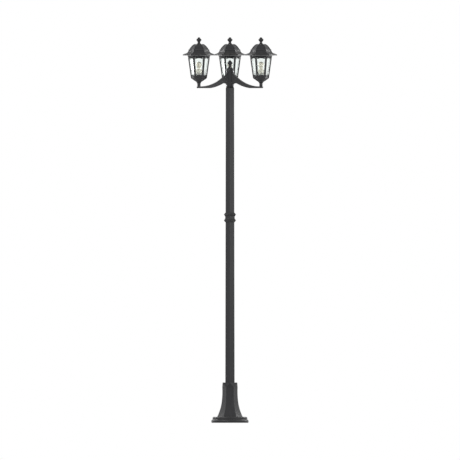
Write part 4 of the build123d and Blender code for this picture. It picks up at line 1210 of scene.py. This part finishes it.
class LAMPPOST_OT_terminal(bpy.types.Operator):
    """Finishes the terminal block and screws its clamps down"""

    bl_idname = "lamp_post.terminal"
    bl_label = "Terminal block"

    WELL_DEPTH = 3.2  # from the block's top to the clamps
    CLAMP = ((0.0, -4.0), (2.7, -4.0), (2.7, -0.4), (2.3, 0.0), (0.0, 0.0))  # radius, height
    SLOT_LIPS = (0.5, 1.1)  # from a clamp's middle to a lip's edges
    SLOT_HALF_LENGTH = 2.2
    SLOT_RISE = (-0.1, 0.4)  # a lip's foot and head over the clamp's top

    def execute(self, context):
        """Paints the block and makes its clamp screws."""
        paint_nodes("moulded_plastic", "terminal_block")
        low, high = box_of("terminal_block")
        way, row = (high.x - low.x) / 3, (high.y - low.y) / 4
        places = [
            Matrix.Translation((across, (low.y + high.y) / 2 + back, high.z - self.WELL_DEPTH))
            for across in (-way, 0, way)
            for back in (-row, row)
        ]
        copied("terminal_clamps", places, self.clamp, finish="turned_brass")
        return {"FINISHED"}

    def clamp(self, mesh):
        """A screw with a lip on each side of its slot."""
        turned(mesh, self.CLAMP, 24)
        near, far = self.SLOT_LIPS
        half = self.SLOT_HALF_LENGTH
        for way in (-1, 1):
            corners = ((-half, near * way), (half, near * way), (half, far * way), (-half, far * way))
            skin(mesh, [[Vector((x, y, rise)) for x, y in corners] for rise in self.SLOT_RISE], caps=True)


class LAMPPOST_OT_stage(bpy.types.Operator):
    """Sets the floor, the background, the lamps and the camera"""

    bl_idname = "lamp_post.stage"
    bl_label = "Stage"

    # The drawing's own frame: millimetres to a pixel, and where the axis and the ground stand in it
    PIXEL = 5.966
    FRAME_WIDTH = 460
    GROUND_ROW = 422.78
    AXIS_COLUMN = 229.95

    FLOOR_R = 60
    CAMERA_DISTANCE = 6.0
    KEY = ((-3.2, -3.8, 3.6), 2.2)  # place, size
    FILL = ((3.6, -2.6, 2.0), 2.4)
    RIMS = {"rim_left": ((-2.6, 2.8, 2.6), 1.2), "rim_right": ((2.8, 2.4, 2.4), 1.2)}

    def execute(self, context):
        """Makes the stage."""
        studio = context.scene.lamp_post_studio
        context.scene.view_settings.view_transform = "Standard"
        self.floor(studio)
        self.background(context, studio)
        self.lamp("key", *self.KEY, studio.key_power)
        self.lamp("fill", *self.FILL, studio.fill_power)
        for name, lamp in self.RIMS.items():
            self.lamp(name, *lamp, studio.rim_power)
        self.camera(context)
        return {"FINISHED"}

    def floor(self, studio):
        """A wide round floor at the foot."""
        mesh = bmesh.new()
        bmesh.ops.create_circle(mesh, cap_ends=True, segments=96, radius=self.FLOOR_R)
        paint = Paint(bpy.data.materials.new("studio_floor"))
        linked_mesh("floor", mesh, paint.finish(studio_floor(paint, studio)))

    def background(self, context, studio):
        """White to the camera and in reflections, plain light elsewhere."""
        paint = Paint(bpy.data.worlds.new("studio"))
        light, white = [
            paint.node("ShaderNodeBackground", {}, {"Color": WHITE, "Strength": strength})
            for strength in (studio.sky_strength, 1.0)
        ]
        context.scene.world = paint.finish(paint.mixed(paint.seen, light, white), "ShaderNodeOutputWorld")

    def lamp(self, name, place, size, power):
        """A square soft lamp that faces the post's middle."""
        data = bpy.data.lights.new(name, "AREA")
        data.shape = "SQUARE"
        data.size = size
        data.energy = power
        lamp = linked(name, data)
        lamp.location = place
        middle = UPWARD * (0.5 * cad_box[1][2])
        lamp.rotation_euler = (Vector(place) - middle).to_track_quat("Z", "Y").to_euler()

    def camera(self, context):
        """A level view of the front without perspective, framed as the drawing is."""
        data = bpy.data.cameras.new("front")
        data.type = "ORTHO"
        data.ortho_scale = self.FRAME_WIDTH * self.PIXEL * MM
        data.clip_end = 100
        camera = linked("front", data)
        across = (self.FRAME_WIDTH / 2 - self.AXIS_COLUMN) * self.PIXEL * MM
        height = (self.GROUND_ROW - self.FRAME_WIDTH / 2) * self.PIXEL * MM
        camera.location = (across, -self.CAMERA_DISTANCE, height)
        camera.rotation_euler = (radians(90), 0, 0)
        context.scene.camera = camera


OPERATORS = (
    LAMPPOST_OT_castings,
    LAMPPOST_OT_roof_trim,
    LAMPPOST_OT_finials,
    LAMPPOST_OT_crowns,
    LAMPPOST_OT_bars,
    LAMPPOST_OT_sills,
    LAMPPOST_OT_arm_rims,
    LAMPPOST_OT_glazing,
    LAMPPOST_OT_lampholders,
    LAMPPOST_OT_bulbs,
    LAMPPOST_OT_fastenings,
    LAMPPOST_OT_terminal,
    LAMPPOST_OT_stage,
)


class LAMPPOST_PT_panel(bpy.types.Panel):
    """Lists the lamp post's sizes, colours and pieces"""

    bl_label = "Lamp post"
    bl_idname = "LAMPPOST_PT_panel"
    bl_space_type = "VIEW_3D"
    bl_region_type = "UI"
    bl_category = "Lamp Post"

    def draw(self, context):
        """Shows every property, then a button for each operator."""
        scene = context.scene
        for group in (scene.lamp_post_finish, scene.lamp_post_trim, scene.lamp_post_studio):
            box = self.layout.box()
            for key in group.bl_rna.properties.keys():
                if key not in ("name", "rna_type"):
                    box.prop(group, key)
        for operator in OPERATORS:
            self.layout.operator(operator.bl_idname)


CLASSES = (LampPostFinish, LampPostTrim, LampPostStudio, *OPERATORS, LAMPPOST_PT_panel)


def register():
    """Adds the classes and the scene's properties."""
    for cls in CLASSES:
        bpy.utils.register_class(cls)
    bpy.types.Scene.lamp_post_finish = PointerProperty(type=LampPostFinish)
    bpy.types.Scene.lamp_post_trim = PointerProperty(type=LampPostTrim)
    bpy.types.Scene.lamp_post_studio = PointerProperty(type=LampPostStudio)


def unregister():
    """Takes them away again."""
    del bpy.types.Scene.lamp_post_studio
    del bpy.types.Scene.lamp_post_trim
    del bpy.types.Scene.lamp_post_finish
    for cls in reversed(CLASSES):
        bpy.utils.unregister_class(cls)


def main():
    """Dresses the post."""
    register()
    for operator in OPERATORS:
        group, name = operator.bl_idname.split(".")
        getattr(getattr(bpy.ops, group), name)()


if __name__ == "__main__":
    main()
